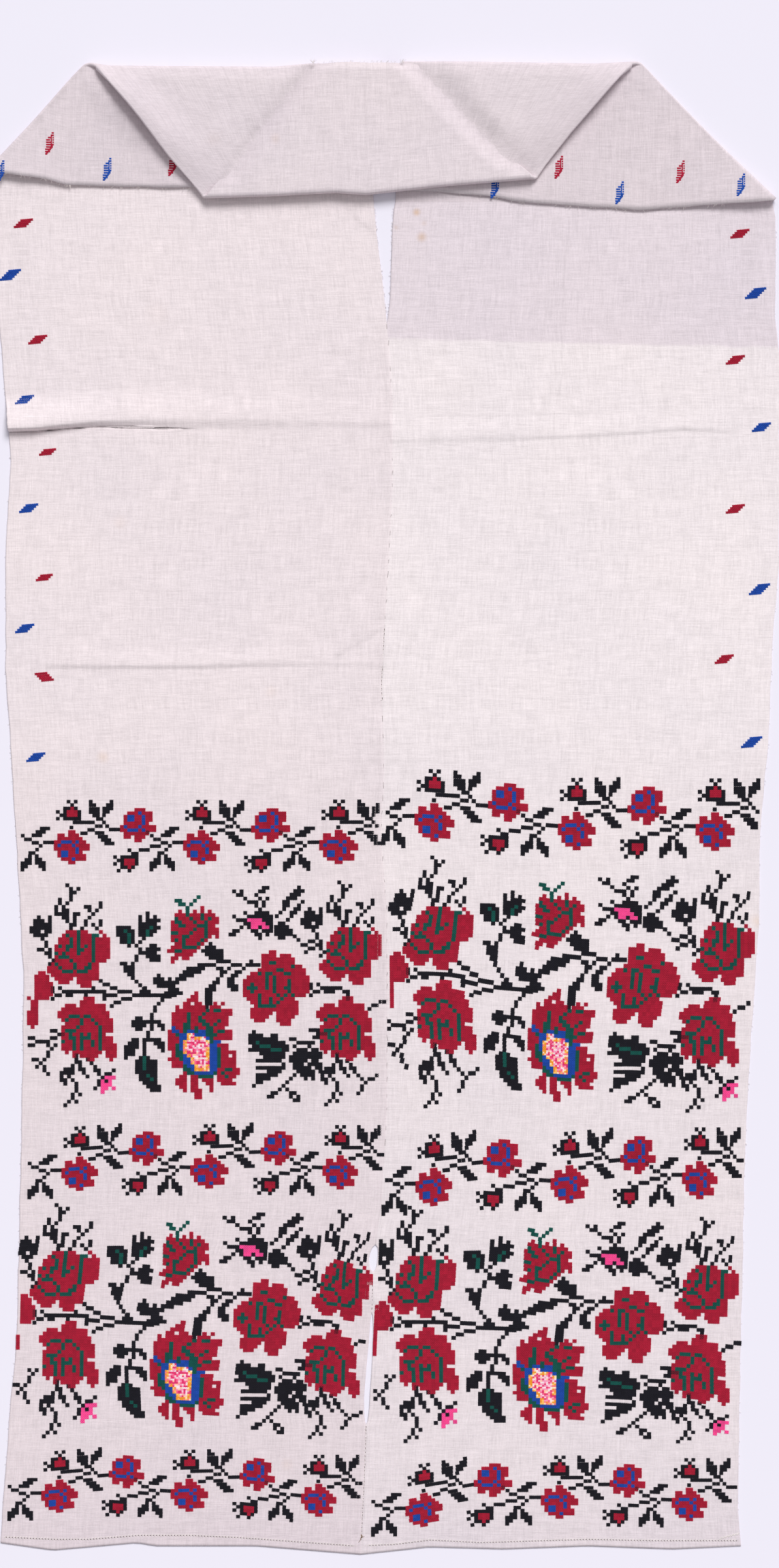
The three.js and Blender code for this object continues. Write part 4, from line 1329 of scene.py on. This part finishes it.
def strip_blocks(name):
    """All blocks of one small garland."""
    pitch, low_roses, high_roses = STRIPS[name]
    line = []
    for repeat, (across, down) in enumerate(low_roses):
        line.append((repeat * STRIP_UNIT, across, down - 10 * pitch))
        if repeat < len(high_roses):
            high_across, high_down = high_roses[repeat]
            line.append((repeat * STRIP_UNIT + 18.5, high_across, high_down - 3.5 * pitch))

    def place(column, row):
        k = 0
        while k < len(line) - 2 and column > line[k + 1][0]:
            k += 1
        (low, low_across, low_down), (high, high_across, high_down) = line[k], line[k + 1]
        share = (column - low) / (high - low)
        rise = min(max(share, 0.0), 1.0)
        return mix(low_across, high_across, share), mix(low_down, high_down, rise) + row * pitch

    def runs(table, start, least):
        for first, last, row in table:
            count = round((last - first) / 1.03) + 1
            for k in range(count):
                column = start + first + (k * (last - first) / (count - 1) if count > 1 else 0)
                if column >= least:
                    yield Block("k", place, column, row, 1.0, 1.0)

    yield from runs(STRIP_LOWER, -STRIP_UNIT, -9.8)
    for repeat in range(3):
        start = repeat * STRIP_UNIT
        charts = [("strip_bud", 0.6, 1.1), ("strip_rose", 0, 10)]
        yield from runs(STRIP_UPPER, start, -99)
        if repeat < 2:
            charts += [("strip_high_rose", 18.5, 3.5), ("strip_low_bud", 16.6, 15.4)]
            yield from runs(STRIP_LOWER + STRIP_LOW_STEM, start, -99)
        for chart, across, down in charts:
            for sign, column, row in chart_blocks(chart):
                yield Block(sign, place, start + across + column, down + row, 1.0, 1.0)


def mark_place(mark, row, across, down):
    """Where a place of a slanted mark lies on the layout grid: each row of it is upright."""
    middle_across, middle_down, rows, _, slant = mark
    aside = across - MARK_CROSSES / 2
    return (middle_across + aside * MARK_CROSS - slant * (row - rows / 2 + 0.5) * MARK_ROW,
            middle_down + (down - rows / 2) * MARK_ROW - aside * MARK_TILT)


def mark_blocks():
    """The slanted marks along the outer edges."""
    for mark in EDGE_MARKS:
        for row in range(mark[2]):
            place = functools.partial(mark_place, mark, row)
            for column in range(MARK_CROSSES):
                yield Block(mark[3], place, column, row, 1.0, 1.0)


def on_cloth(block):
    """Whether a block is on one arm's cloth, clear of its selvedge, the seam and the openings."""
    x, down = steps_to_towel(block.across, block.down)
    shift = end_shift(x, down)
    seam = read(SEAM, down - shift)
    gap = half_gap(down - shift) + 0.6
    if abs(x - seam) < gap + 0.9:
        return False
    return read(LEFT_OUTER, down) + 1.0 < x < read(RIGHT_OUTER, down) - 1.0


def crosses(count):
    """Crosses on a square one unit wide, each a lower and an upper diagonal yarn."""
    verts = [(-0.5, -0.5, 0.1), (0.5, -0.5, 0.1), (0.5, 0.5, 0.1), (-0.5, 0.5, 0.1)]
    faces = [(0, 1, 2, 3)]
    size = 1 / count
    long = 0.69 * size
    half = 0.2 * size
    for number in range(count * count):
        cx = (number % count + 0.5) * size - 0.5
        cy = (number // count + 0.5) * size - 0.5
        for dy, foot, crest in ((-0.7071, 0.08, 0.75), (0.7071, 0.1, 1.0)):
            base = len(verts)
            for along, side in ((-1, -1), (1, -1), (1, 1), (-1, 1)):
                verts.append((cx + along * long * 0.7071 - side * half * dy,
                              cy + along * long * dy + side * half * 0.7071, foot))
            for along in (-1, 1):
                verts.append((cx + along * (long - half) * 0.7071,
                              cy + along * (long - half) * dy, crest))
            faces += ridge_faces(base)
    return verts, faces


def ridge_faces(base):
    """The four faces of a low ridge over four corners and two crest points."""
    return [(base, base + 1, base + 5, base + 4), (base + 2, base + 3, base + 4, base + 5),
            (base + 1, base + 2, base + 5), (base + 3, base, base + 4)]


def float_stitch():
    """One straight stitch of yarn, one unit long and wide."""
    verts = [(-0.5, -0.5, 0), (0.5, -0.5, 0), (0.5, 0.5, 0), (-0.5, 0.5, 0),
             (-0.35, 0, 1), (0.35, 0, 1)]
    return verts, ridge_faces(0)


def hair():
    """One loose bent thread, one unit long, as a closed three-sided tube."""
    verts = []
    faces = [(0, 1, 2)]
    bends = ((-0.5, 0.0), (-0.2, 0.9), (0.15, 0.3), (0.5, -1.2))
    for k, (along, side) in enumerate(bends):
        verts += [(along, side - 0.5, 0.0), (along, side + 0.5, 0.0), (along, side, 1.0)]
        if k:
            a = 3 * (k - 1)
            faces += [(a, a + 3, a + 4, a + 1), (a + 1, a + 4, a + 5, a + 2),
                      (a + 2, a + 5, a + 3, a)]
    last = 3 * (len(bends) - 1)
    faces.append((last + 2, last + 1, last))
    return verts, [tuple(reversed(face)) for face in faces]


TEMPLATES = {
    "block": lambda: crosses(2), "cross": lambda: crosses(1), "float": float_stitch, "hair": hair,
}


def drawn(tree, kind, low, high, seed):
    """A random value for each stitch."""
    values = {"Min": low, "Max": high, "Seed": seed}
    return add_node(tree, "FunctionNodeRandomValue", values, data_type=kind).outputs["Value"]


def sewing_tree():
    """Sets a stitch on every point, each a little different, as one plain mesh."""
    tree, given = new_group("stitches", "GeometryNodeTree", [
        ("Geometry", "Geometry"), ("Stitch", "Object"), ("Yarn Height", "Float"),
        ("Unevenness", "Float"), ("Seed", "Int"), ("Material", "Material"),
    ], ("Geometry", "Geometry"))
    uneven, seed = given["Unevenness"], given["Seed"]
    stitch = add_node(tree, "GeometryNodeObjectInfo", {"Object": given["Stitch"]})
    size, turn = (
        add_node(tree, "GeometryNodeInputNamedAttribute", {"Name": name}, data_type=kind)
        for name, kind in (("block_size", "FLOAT_VECTOR"), ("block_turn", "FLOAT")))
    low = worked_out(tree, "SUBTRACT", 1.0, uneven)
    high = worked_out(tree, "ADD", 1.0, uneven)
    wide = drawn(tree, "FLOAT_VECTOR", low, high, seed)
    tall = add_node(
        tree, "ShaderNodeCombineXYZ", {"X": 1.0, "Y": 1.0, "Z": given["Yarn Height"]})
    flat = vector_of(tree, "MULTIPLY", size.outputs["Attribute"], wide)
    spin = drawn(tree, "FLOAT", -0.025, 0.025, seed)
    angle = worked_out(tree, "ADD", turn.outputs["Attribute"], spin)
    euler = add_node(tree, "ShaderNodeCombineXYZ", {"Z": angle})
    rotation = add_node(tree, "FunctionNodeEulerToRotation", {0: euler.outputs[0]})
    sewn = add_node(
        tree, "GeometryNodeInstanceOnPoints",
        {"Points": given["Geometry"], "Instance": stitch.outputs["Geometry"],
         "Rotation": rotation.outputs[0],
         "Scale": vector_of(tree, "MULTIPLY", flat, tall.outputs[0])})
    stored = add_node(
        tree, "GeometryNodeStoreNamedAttribute",
        {"Geometry": sewn.outputs["Instances"], "Name": "yarn_tone",
         "Value": drawn(tree, "FLOAT", 0.0, 1.0, seed)}, domain="INSTANCE", data_type="FLOAT")
    real = add_node(tree, "GeometryNodeRealizeInstances", {"Geometry": stored.outputs["Geometry"]})
    dyed = add_node(
        tree, "GeometryNodeSetMaterial",
        {"Geometry": real.outputs["Geometry"], "Material": given["Material"]})
    return end_group(tree, dyed.outputs["Geometry"])


def set_inputs(modifier, values):
    """Sets a geometry nodes modifier's named inputs by their sockets' identifiers."""
    for item in modifier.node_group.interface.items_tree:
        if item.item_type == "SOCKET" and item.in_out == "INPUT" and item.name in values:
            modifier[item.identifier] = values[item.name]


def made_plain(piece):
    """Turns a piece with live modifiers into a plain mesh."""
    depsgraph = bpy.context.evaluated_depsgraph_get()
    evaluated = piece.evaluated_get(depsgraph)
    mesh = bpy.data.meshes.new_from_object(
        evaluated, preserve_all_data_layers=True, depsgraph=depsgraph,
    )
    mesh.name = piece.name
    piece.modifiers.clear()
    piece.data = mesh
    return piece


def sew(name, sign, template, places, height, context, seed):
    """Sews one yarn: places are points of the frame with a width, a height and a turn."""
    colours = context.scene.rushnyk_colours
    points = bpy.data.meshes.new(name + "_places")
    points.from_pydata([p[0] for p in places], [], [])
    sizes = points.attributes.new("block_size", "FLOAT_VECTOR", "POINT")
    sizes.data.foreach_set("vector", [v for p in places for v in (p[1], p[2], 1.0)])
    turns = points.attributes.new("block_turn", "FLOAT", "POINT")
    turns.data.foreach_set("value", [p[3] for p in places])
    piece = link(points, name)
    stitch = bpy.data.meshes.new("stitch")
    verts, faces = TEMPLATES[template]()
    stitch.from_pydata(verts, [], faces)
    sample = link(stitch, "stitch")
    slot, dye = YARNS[sign]
    material = bpy.data.materials.get(dye + "_thread")
    if material is None:
        colour = TURNS[dye][0][1] if dye in TURNS else getattr(colours, dye)
        material = yarn_material(dye, colour, 0.16)
    modifier = piece.modifiers.new("stitches", "NODES")
    modifier.node_group = bpy.data.node_groups.get("stitches") or sewing_tree()
    set_inputs(modifier, {
        "Stitch": sample, "Yarn Height": height, "Seed": seed, "Material": material,
        "Unevenness": context.scene.rushnyk_stitches.unevenness,
    })
    made_plain(piece)
    bpy.data.objects.remove(sample)
    bpy.data.meshes.remove(stitch)
    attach(piece, "root")
    return piece


def sew_small(name, places, context):
    """Sews one of the small pieces."""
    sign, template, height, seed = SMALL_SEWING[name]
    sew(name, sign, template, places, height, context, seed)


def sew_groups(label, template, groups, height, context):
    """Sews every yarn's places as a piece of its own."""
    for number, ((sign, side), places) in enumerate(sorted(groups.items())):
        name = "_".join(part for part in (label, YARNS[sign][1], side) if part)
        kind = "cross" if sign in "hy" else template
        sew(name, sign, kind, places, height, context, number + 3 * len(label))


def sew_blocks(label, blocks, context, template="block"):
    """Sews blocks that lie on the arms, one piece for each yarn and arm."""
    settings = context.scene.rushnyk_stitches
    cloth = ClothShape(context.scene.rushnyk_cloth)
    groups = {}
    for block in blocks:
        if not on_cloth(block):
            continue
        x, down = steps_to_towel(block.across, block.down)
        seam = read(SEAM, down)
        side = "left" if x < seam else "right"
        if label.endswith(("_left", "_right")) and not label.endswith("_" + side):
            continue
        _, moved, middle = cloth.flat_point(
            x, down, -1 if x < seam else 1, abs(x - seam) if down > SEAM_START else 99.0)
        lean = moved - down - end_shift(x, down)
        top = middle + settings.cloth_top / MM - cloth.thick / 2
        wide = block.wide * GRID_STEP * settings.fullness
        high = block.high * GRID_STEP * settings.fullness
        places = groups.setdefault((block.sign, side), [])
        if block.sign in "hy":
            for dx, dy in ((-1, -1), (1, -1), (1, 1), (-1, 1)):
                places.append((to_frame(x + dx * wide / 4, down + lean + dy * high / 4, top),
                               wide / 2 * MM, high / 2 * MM, block.turn))
        else:
            places.append((to_frame(x, down + lean, top), wide * MM, high * MM, block.turn))
    sew_groups(label, template, groups, settings.yarn_height, context)


def flap_height(x, down, shape):
    """The height of the flap's upper face at a place, in millimetres."""
    top = read(TOP_FOLD, x) + shape.reach
    edge = read(FLAP_EDGE, x)
    level = min(max((edge - down) / (edge - top), 0.0), 1.0)
    rise = shape.flap_rise(x, level, down)
    return shape.first + shape.pitch / 2 + shape.thick / 2 + rise


def stitch_at(x, down, z, kind, turn):
    """A stitch beside a place: its kind is (right, lower, length, width), in millimetres."""
    right, lower, length, width = kind
    return to_frame(x + right, down + lower, z), length * MM, width * MM, turn


def hem_places(settings):
    """The hem's openwork: a light stitch and a patch of painted shade for the pulled holes in turn,
    along the hem line.
    """
    light = []
    holes = []
    across = HEM_LINE[0][0]
    top = settings.cloth_top / MM
    draw = random.Random(4)
    while across < HEM_LINE[-1][0]:
        x, down = steps_to_towel(across, read(HEM_LINE, across))
        inside = read(LEFT_OUTER, down) + HEM_CLEAR < x < read(RIGHT_OUTER, down) - HEM_CLEAR
        if inside and abs(x - read(SEAM, down)) > HEM_SEAM_CLEAR:
            light.append(stitch_at(x, down, top, HEM_STITCH, draw.uniform(*HEM_LEANS)))
            holes.append(stitch_at(x, down, top, HEM_HOLE_SHADE, HOLE_SHADE_LEAN))
        across += HEM_STEP
    for k in range(WIDE_STITCHES):
        x, down = steps_to_towel(
            WIDE_FIRST[0] + k * WIDE_STEP[0], WIDE_FIRST[1] + k * WIDE_STEP[1])
        light.append(stitch_at(x, down, top, WIDE_STITCH, WIDE_LEAN))
    return light, holes


def seam_places(settings):
    """Dashes of painted shade in the seam's gap and light whipping down the seam."""
    draw = random.Random(9)
    top = settings.cloth_top / MM
    dark = []
    light = []
    for start, end, step, strength in SEAM_DASHES:
        at = start
        while at < end:
            _, down = steps_to_towel(0, at)
            if half_gap(down) == 0:
                x = read(SEAM, down)
                slope = read(SEAM, down + SLOPE_REACH) - read(SEAM, down - SLOPE_REACH)
                turn = math.pi / 2 + slope / (2 * SLOPE_REACH) + draw.uniform(-DASH_TURN, DASH_TURN)
                length = step * GRID_STEP * draw.uniform(*DASH_LENGTHS) * (0.5 + strength / 2)
                side = draw.uniform(-DASH_ASIDE, DASH_ASIDE)
                dash = (side, 0, length, DASH_WIDTH * strength)
                dark.append(stitch_at(x, down, top, dash, turn))
                if strength == 1.0:
                    whip_turn = draw.uniform(*WHIP_TURNS)
                    light.append(stitch_at(x, down, top + WHIP_RISE, WHIP_STITCH, whip_turn))
            at += step * draw.uniform(*DASH_STEPS)
    return dark, light


def knot_places():
    """The brown threads of the seam's mended end."""
    places = []
    for across, down, length, turn in KNOT:
        x, low = steps_to_towel(across, down)
        places.append(stitch_at(x, low, KNOT_LEVEL, (0, 0, length, KNOT_WIDTH), turn))
    return places


def frayed_places(sizes):
    """Loose thread ends along the flap, the top selvedge, the open V and the outer selvedges."""
    shape = ClothShape(sizes)
    draw = random.Random(21)
    places = []

    def add(x, down, z, away, lengths):
        length = draw.uniform(*lengths)
        turn = away + draw.uniform(-END_TURN, END_TURN)
        reach = length * END_REACH
        end = (reach * math.cos(turn), -reach * math.sin(turn), length, draw.uniform(*END_WIDTHS))
        places.append(stitch_at(x, down, z, end, turn))

    def spread(ends):
        count, run, lengths = ends
        for _ in range(count):
            yield draw.uniform(*run), lengths

    def on_flap(x):
        return shape.first + shape.pitch / 2 + read(FLAP_LIFT, x)

    for x, lengths in spread(FLAP_ENDS):
        add(x, read(FLAP_EDGE, x) - 0.3, on_flap(x), -math.pi / 2, lengths)
    for x, lengths in spread(TOP_ENDS):
        z = shape.third + shape.pitch / 2 - shape.slack(x, 5.0, 1)
        add(x, TOP_SELVEDGE_DOWN + 0.2, z, math.pi / 2, lengths)
    for x, count, edge in BUNCHES:
        if edge == "flap":
            hung = (read(FLAP_EDGE, x) - 0.4, on_flap(x), -BUNCH_TURN)
        else:
            hung = (TOP_SELVEDGE_DOWN, shape.third + shape.pitch / 2, BUNCH_TURN)
        for _ in range(count):
            add(x + draw.uniform(-1, 1), *hung, BUNCH_LENGTHS)
    for down, lengths in spread(OPENING_ENDS):
        for edge, inwards, away in ((LEFT_OF_OPENING, -0.2, 0.0), (RIGHT_OF_OPENING, 0.2, math.pi)):
            add(read(edge, down) + inwards, down, shape.thick / 2, away, lengths)
    for down, lengths in spread(SELVEDGE_ENDS):
        for edge, away in ((LEFT_OUTER, math.pi), (RIGHT_OUTER, 0.0)):
            add(read(edge, down), down, shape.thick / 2, away, lengths)
    return places


def length_property(name, description, value):
    """A length, in metres, that a user may change."""
    return bpy.props.FloatProperty(
        name=name, description=description, default=value, unit="LENGTH", precision=5)


def angle_property(name, description, value):
    """An angle that a user may change."""
    return bpy.props.FloatProperty(
        name=name, description=description, default=value, subtype="ANGLE")


def share_property(name, description, value, low, high):
    """A plain number that a user may change, between two others."""
    return bpy.props.FloatProperty(
        name=name, description=description, default=value, min=low, max=high)


def colour_property(name, description, value):
    """A colour that a user may change."""
    return bpy.props.FloatVectorProperty(
        name=name, description=description, default=value, subtype="COLOR", size=3, min=0, max=1)


class RushnykClothSizes(bpy.types.PropertyGroup):
    """Sizes of the linen."""

    thickness: length_property("Thickness", "Thickness of the linen", 0.0008)
    layer_pitch: length_property("Layer pitch", "Distance between folded layers", 0.0024)
    soft_edge: length_property("Soft edge", "How far in the top layers sink at their folds", 0.028)
    edge_waver: length_property("Edge waver", "How far the selvedges wander", 0.0006)
    seam_lap: length_property("Seam lap", "How far an arm's edge stands up at the seam", 0.0009)
    flat_width: length_property("Cloth width", "Width of the loom", 0.366)
    flat_length: length_property("Cloth length", "Length of the towel laid out", 3.45)


class RushnykStitchSizes(bpy.types.PropertyGroup):
    """Sizes of the embroidery."""

    yarn_height: length_property("Yarn height", "How far the crosses stand off the linen", 0.0007)
    unevenness: share_property("Unevenness", "How much the blocks differ in size", 0.03, 0, 0.3)
    fullness: share_property("Fullness", "How far a block fills its square", 1.05, 0.5, 1.5)
    cloth_top: length_property("Cloth top", "Height of the linen's upper face", 0.00081)


class RushnykColours(bpy.types.PropertyGroup):
    """Colours of the linen and the yarns."""

    left_linen: colour_property("Left arm", "Greyer homespun", (0.872, 0.778, 0.812))
    right_linen: colour_property("Right arm", "Lighter homespun", (0.905, 0.825, 0.855))
    bridge_linen: colour_property("Bridge", "The reverse side on top", (0.805, 0.715, 0.758))
    # Painted shade: the lower layers and the flaps take this darker tone for the shade they lie in.
    shaded_stack_linen: colour_property("Flaps", "The reverse side below it", (0.752, 0.664, 0.712))
    red: colour_property("Red yarn", "Roses", (0.45, 0.013, 0.045))
    black: colour_property("Black yarn", "Leaves and stems", (0.012, 0.011, 0.018))
    blue: colour_property("Blue yarn", "Rose veins of the strips", (0.015, 0.085, 0.43))
    green: colour_property("Green yarn", "Rose veins of the garlands", (0.006, 0.105, 0.085))
    pink: colour_property("Pink yarn", "Buds", (0.88, 0.09, 0.34))
    thread: colour_property("Linen thread", "Hem stitches and loose ends", (0.83, 0.78, 0.75))
    # Painted shade: the dark colour of the pulled holes and of the seam's gaps.
    hole: colour_property("Shadowed gaps", "Pulled holes and seam gaps", (0.12, 0.09, 0.085))
    knot: colour_property("Brown thread", "The seam's mended end", (0.20, 0.12, 0.06))


class RushnykStage(bpy.types.PropertyGroup):
    """The surface, the light and the camera."""

    floor: colour_property("Surface", "The pale surface it lies on", (0.877, 0.847, 0.939))
    camera_height: length_property("Camera height", "Height straight above", 3.2)
    view_length: length_property("View length", "Length of the surface that is in view", 1.488)
    key_power: share_property("Light", "Strength of the light from the top end", 2.58, 0, 100)
    key_slant: angle_property("Slant", "How far the light leans from straight above", 0.75)
    key_side: angle_property("Side", "How far the light is turned to the right", 0.33)
    key_spread: angle_property("Spread", "How wide the light is, which softens shadows", 0.5)
    fill: share_property("Surrounding light", "Strength of the light all round", 0.41, 0, 100)


class RUSHNYK_OT_cloth(bpy.types.Operator):
    """Makes the folded linen cloth"""

    bl_idname = "rushnyk.cloth"
    bl_label = "Linen cloth"

    def execute(self, context):
        sizes = context.scene.rushnyk_cloth
        shape = ClothShape(sizes)
        shares = column_shares(ARM_COLUMNS, EDGE_SHARE)
        bridge = bridge_net(shape, BRIDGE_COLUMNS)
        left = arm_net(shape, LEFT_ARM, shares, None)
        shared = [row[-1][0] for row in left[-len(rows_of_seam()):]]
        right = arm_net(shape, RIGHT_ARM, shares, shared)
        topmost = levels_of_stack().index(4.0) + 1
        inside = len(levels_of_stack()) - 1
        # The lower layers, the flaps and the turns take the stack's tone, which is painted shade.
        add_faces(shape, bridge[:topmost], True, ZONES["bridge"])
        add_faces(shape, bridge[topmost - 1:], True, ZONES["stack"])
        for arm, mirrored, zone in ((left, False, "left"), (right, True, "right")):
            add_faces(shape, arm[:inside], mirrored, ZONES["stack"])
            add_faces(shape, arm[inside - 1:], mirrored, ZONES[zone])
        for side, arm, column in ((-1, left, 0), (1, right, -1)):
            net = diagonal_net(shape, side, arm, bridge[1:], column)
            add_faces(shape, net, side > 0, ZONES["stack"])
        cloth = link(cloth_mesh(shape, "towel_cloth"), "towel_cloth")
        cloth.data.materials.append(linen_material(context.scene.rushnyk_colours))
        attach(cloth, "root")
        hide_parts("linen_cloth")
        return {"FINISHED"}


class RUSHNYK_OT_garlands(bpy.types.Operator):
    """Sews the four big garlands of roses"""

    bl_idname = "rushnyk.garlands"
    bl_label = "Big garlands"

    def execute(self, context):
        for name in GARLAND_SHIFTS:
            sew_blocks(f"garland_{name}", garland_blocks(name), context)
        return {"FINISHED"}


class RUSHNYK_OT_strips(bpy.types.Operator):
    """Sews the six small garlands between the big ones"""

    bl_idname = "rushnyk.strips"
    bl_label = "Small garlands"

    def execute(self, context):
        for name in STRIPS:
            sew_blocks(f"strip_{name}", strip_blocks(name), context)
        return {"FINISHED"}


class RUSHNYK_OT_edge_marks(bpy.types.Operator):
    """Sews the slanted marks along the outer edges"""

    bl_idname = "rushnyk.edge_marks"
    bl_label = "Edge marks"

    def execute(self, context):
        sew_blocks("edge_marks", mark_blocks(), context, "cross")
        return {"FINISHED"}


class RUSHNYK_OT_flap_marks(bpy.types.Operator):
    """Sews the reverse side of the marks that shows on the flap"""

    bl_idname = "rushnyk.flap_marks"
    bl_label = "Marks on the flap"

    def execute(self, context):
        shape = ClothShape(context.scene.rushnyk_cloth)
        groups = {}
        for middle, level, sign in FLAP_MARKS:
            for row, line in enumerate(LADDER):
                for column, sewn in enumerate(line):
                    x, down = steps_to_towel(
                        middle + LADDER_SHIFT[0] + (column - LADDER_MIDDLE[0]) * LADDER_STEP[0],
                        level + LADDER_SHIFT[1] + (row - LADDER_MIDDLE[1]) * LADDER_STEP[1])
                    if sewn == "." or x < read(LEFT_DIAGONAL[:5], 0.05) + 3:
                        continue
                    top = flap_height(x, down, shape)
                    groups.setdefault((sign, ""), []).append(
                        (to_frame(x, down, top), LADDER_STITCH[0] * MM, LADDER_STITCH[1] * MM, 0.0))
        sew_groups("flap_marks", "float", groups, FLAP_MARK_HEIGHT, context)
        return {"FINISHED"}


class RUSHNYK_OT_hem(bpy.types.Operator):
    """Sews the hems' openwork stitches and the painted shade of their pulled holes"""

    bl_idname = "rushnyk.hem"
    bl_label = "Hem stitches"

    def execute(self, context):
        light, holes = hem_places(context.scene.rushnyk_stitches)
        sew_small("hem_stitches", light, context)
        sew_small("hem_holes", holes, context)
        return {"FINISHED"}


class RUSHNYK_OT_seam(bpy.types.Operator):
    """Sews the seam between the arms, with dashes of painted shade in its gap and the knot at its
    end
    """

    bl_idname = "rushnyk.seam"
    bl_label = "Seam stitches"

    def execute(self, context):
        dark, light = seam_places(context.scene.rushnyk_stitches)
        sew_small("seam_gaps", dark, context)
        sew_small("seam_stitches", light, context)
        sew_small("seam_knot", knot_places(), context)
        return {"FINISHED"}


class RUSHNYK_OT_frayed_threads(bpy.types.Operator):
    """Makes the loose thread ends along the free edges"""

    bl_idname = "rushnyk.frayed_threads"
    bl_label = "Frayed threads"

    def execute(self, context):
        sew_small("frayed_threads", frayed_places(context.scene.rushnyk_cloth), context)
        return {"FINISHED"}


# The surface's half width and height, the light all round, and what the camera looks at: metres.
SURFACE_HALF = 4.0
SURFACE_LEVEL = -0.0004
ROUND_LIGHT = (0.97, 0.97, 1.0, 1)
VIEW_MIDDLE = (0.0049, 0.0229)


class RUSHNYK_OT_stage(bpy.types.Operator):
    """Makes the pale surface, the soft light and the camera straight above"""

    bl_idname = "rushnyk.stage"
    bl_label = "Surface, light and camera"

    def execute(self, context):
        stage = context.scene.rushnyk_stage
        mesh = bpy.data.meshes.new("surface")
        corners = [(x * SURFACE_HALF, y * SURFACE_HALF, SURFACE_LEVEL)
                   for x, y in ((-1, -1), (1, -1), (1, 1), (-1, 1))]
        mesh.from_pydata(corners, [], [(0, 1, 2, 3)])
        floor = link(mesh, "surface")
        material, _, shader = new_material("pale_surface", 0.7, 0.0)
        shader["Base Color"].default_value = (*stage.floor, 1)
        mesh.materials.append(material)

        world = bpy.data.worlds.new("studio")
        world.use_nodes = True
        background = world.node_tree.nodes["Background"]
        background.inputs["Color"].default_value = ROUND_LIGHT
        background.inputs["Strength"].default_value = stage.fill
        context.scene.world = world

        light = bpy.data.lights.new("soft_window", "SUN")
        light.energy = stage.key_power
        light.angle = stage.key_spread
        lamp = bpy.data.objects.new("soft_window", light)
        flat = math.sin(stage.key_slant)
        towards = Vector((flat * math.sin(stage.key_side), flat * math.cos(stage.key_side),
                          math.cos(stage.key_slant)))
        lamp.rotation_euler = towards.to_track_quat("Z", "Y").to_euler()
        context.scene.collection.objects.link(lamp)

        camera = bpy.data.cameras.new("camera")
        camera.sensor_fit = "VERTICAL"
        camera.angle = 2 * math.atan(stage.view_length / 2 / stage.camera_height)
        camera.clip_start = 0.1
        holder = bpy.data.objects.new("camera", camera)
        holder.location = (*VIEW_MIDDLE, stage.camera_height)
        context.scene.collection.objects.link(holder)
        context.scene.camera = holder
        context.scene.view_settings.view_transform = "Standard"
        return {"FINISHED"}


class RUSHNYK_PT_panel(bpy.types.Panel):
    """The towel's sizes, colours and pieces"""

    bl_idname = "RUSHNYK_PT_panel"
    bl_label = "Rushnyk"
    bl_space_type = "VIEW_3D"
    bl_region_type = "UI"
    bl_category = "Rushnyk"

    def draw(self, context):
        layout = self.layout
        for group in (context.scene.rushnyk_cloth, context.scene.rushnyk_stitches,
                      context.scene.rushnyk_colours, context.scene.rushnyk_stage):
            for name in group.__annotations__:
                layout.prop(group, name)
        for operator in OPERATORS:
            layout.operator(operator.bl_idname)


OPERATORS = (
    RUSHNYK_OT_cloth, RUSHNYK_OT_garlands, RUSHNYK_OT_strips, RUSHNYK_OT_edge_marks,
    RUSHNYK_OT_flap_marks, RUSHNYK_OT_hem, RUSHNYK_OT_seam, RUSHNYK_OT_frayed_threads,
    RUSHNYK_OT_stage,
)
GROUPS = (RushnykClothSizes, RushnykStitchSizes, RushnykColours, RushnykStage)


def register():
    """Registers the add-on's classes and settings."""
    for kind in (*GROUPS, *OPERATORS, RUSHNYK_PT_panel):
        bpy.utils.register_class(kind)
    scene = bpy.types.Scene
    scene.rushnyk_cloth = bpy.props.PointerProperty(type=RushnykClothSizes)
    scene.rushnyk_stitches = bpy.props.PointerProperty(type=RushnykStitchSizes)
    scene.rushnyk_colours = bpy.props.PointerProperty(type=RushnykColours)
    scene.rushnyk_stage = bpy.props.PointerProperty(type=RushnykStage)


def unregister():
    """Takes the classes and settings away again."""
    for name in ("rushnyk_cloth", "rushnyk_stitches", "rushnyk_colours", "rushnyk_stage"):
        delattr(bpy.types.Scene, name)
    for kind in (RUSHNYK_PT_panel, *reversed(OPERATORS), *reversed(GROUPS)):
        bpy.utils.unregister_class(kind)


def main():
    """Makes every piece in order."""
    register()
    bpy.ops.rushnyk.stage()
    bpy.ops.rushnyk.cloth()
    bpy.ops.rushnyk.garlands()
    bpy.ops.rushnyk.strips()
    bpy.ops.rushnyk.edge_marks()
    bpy.ops.rushnyk.flap_marks()
    bpy.ops.rushnyk.hem()
    bpy.ops.rushnyk.seam()
    bpy.ops.rushnyk.frayed_threads()


if __name__ == "__main__":
    main()
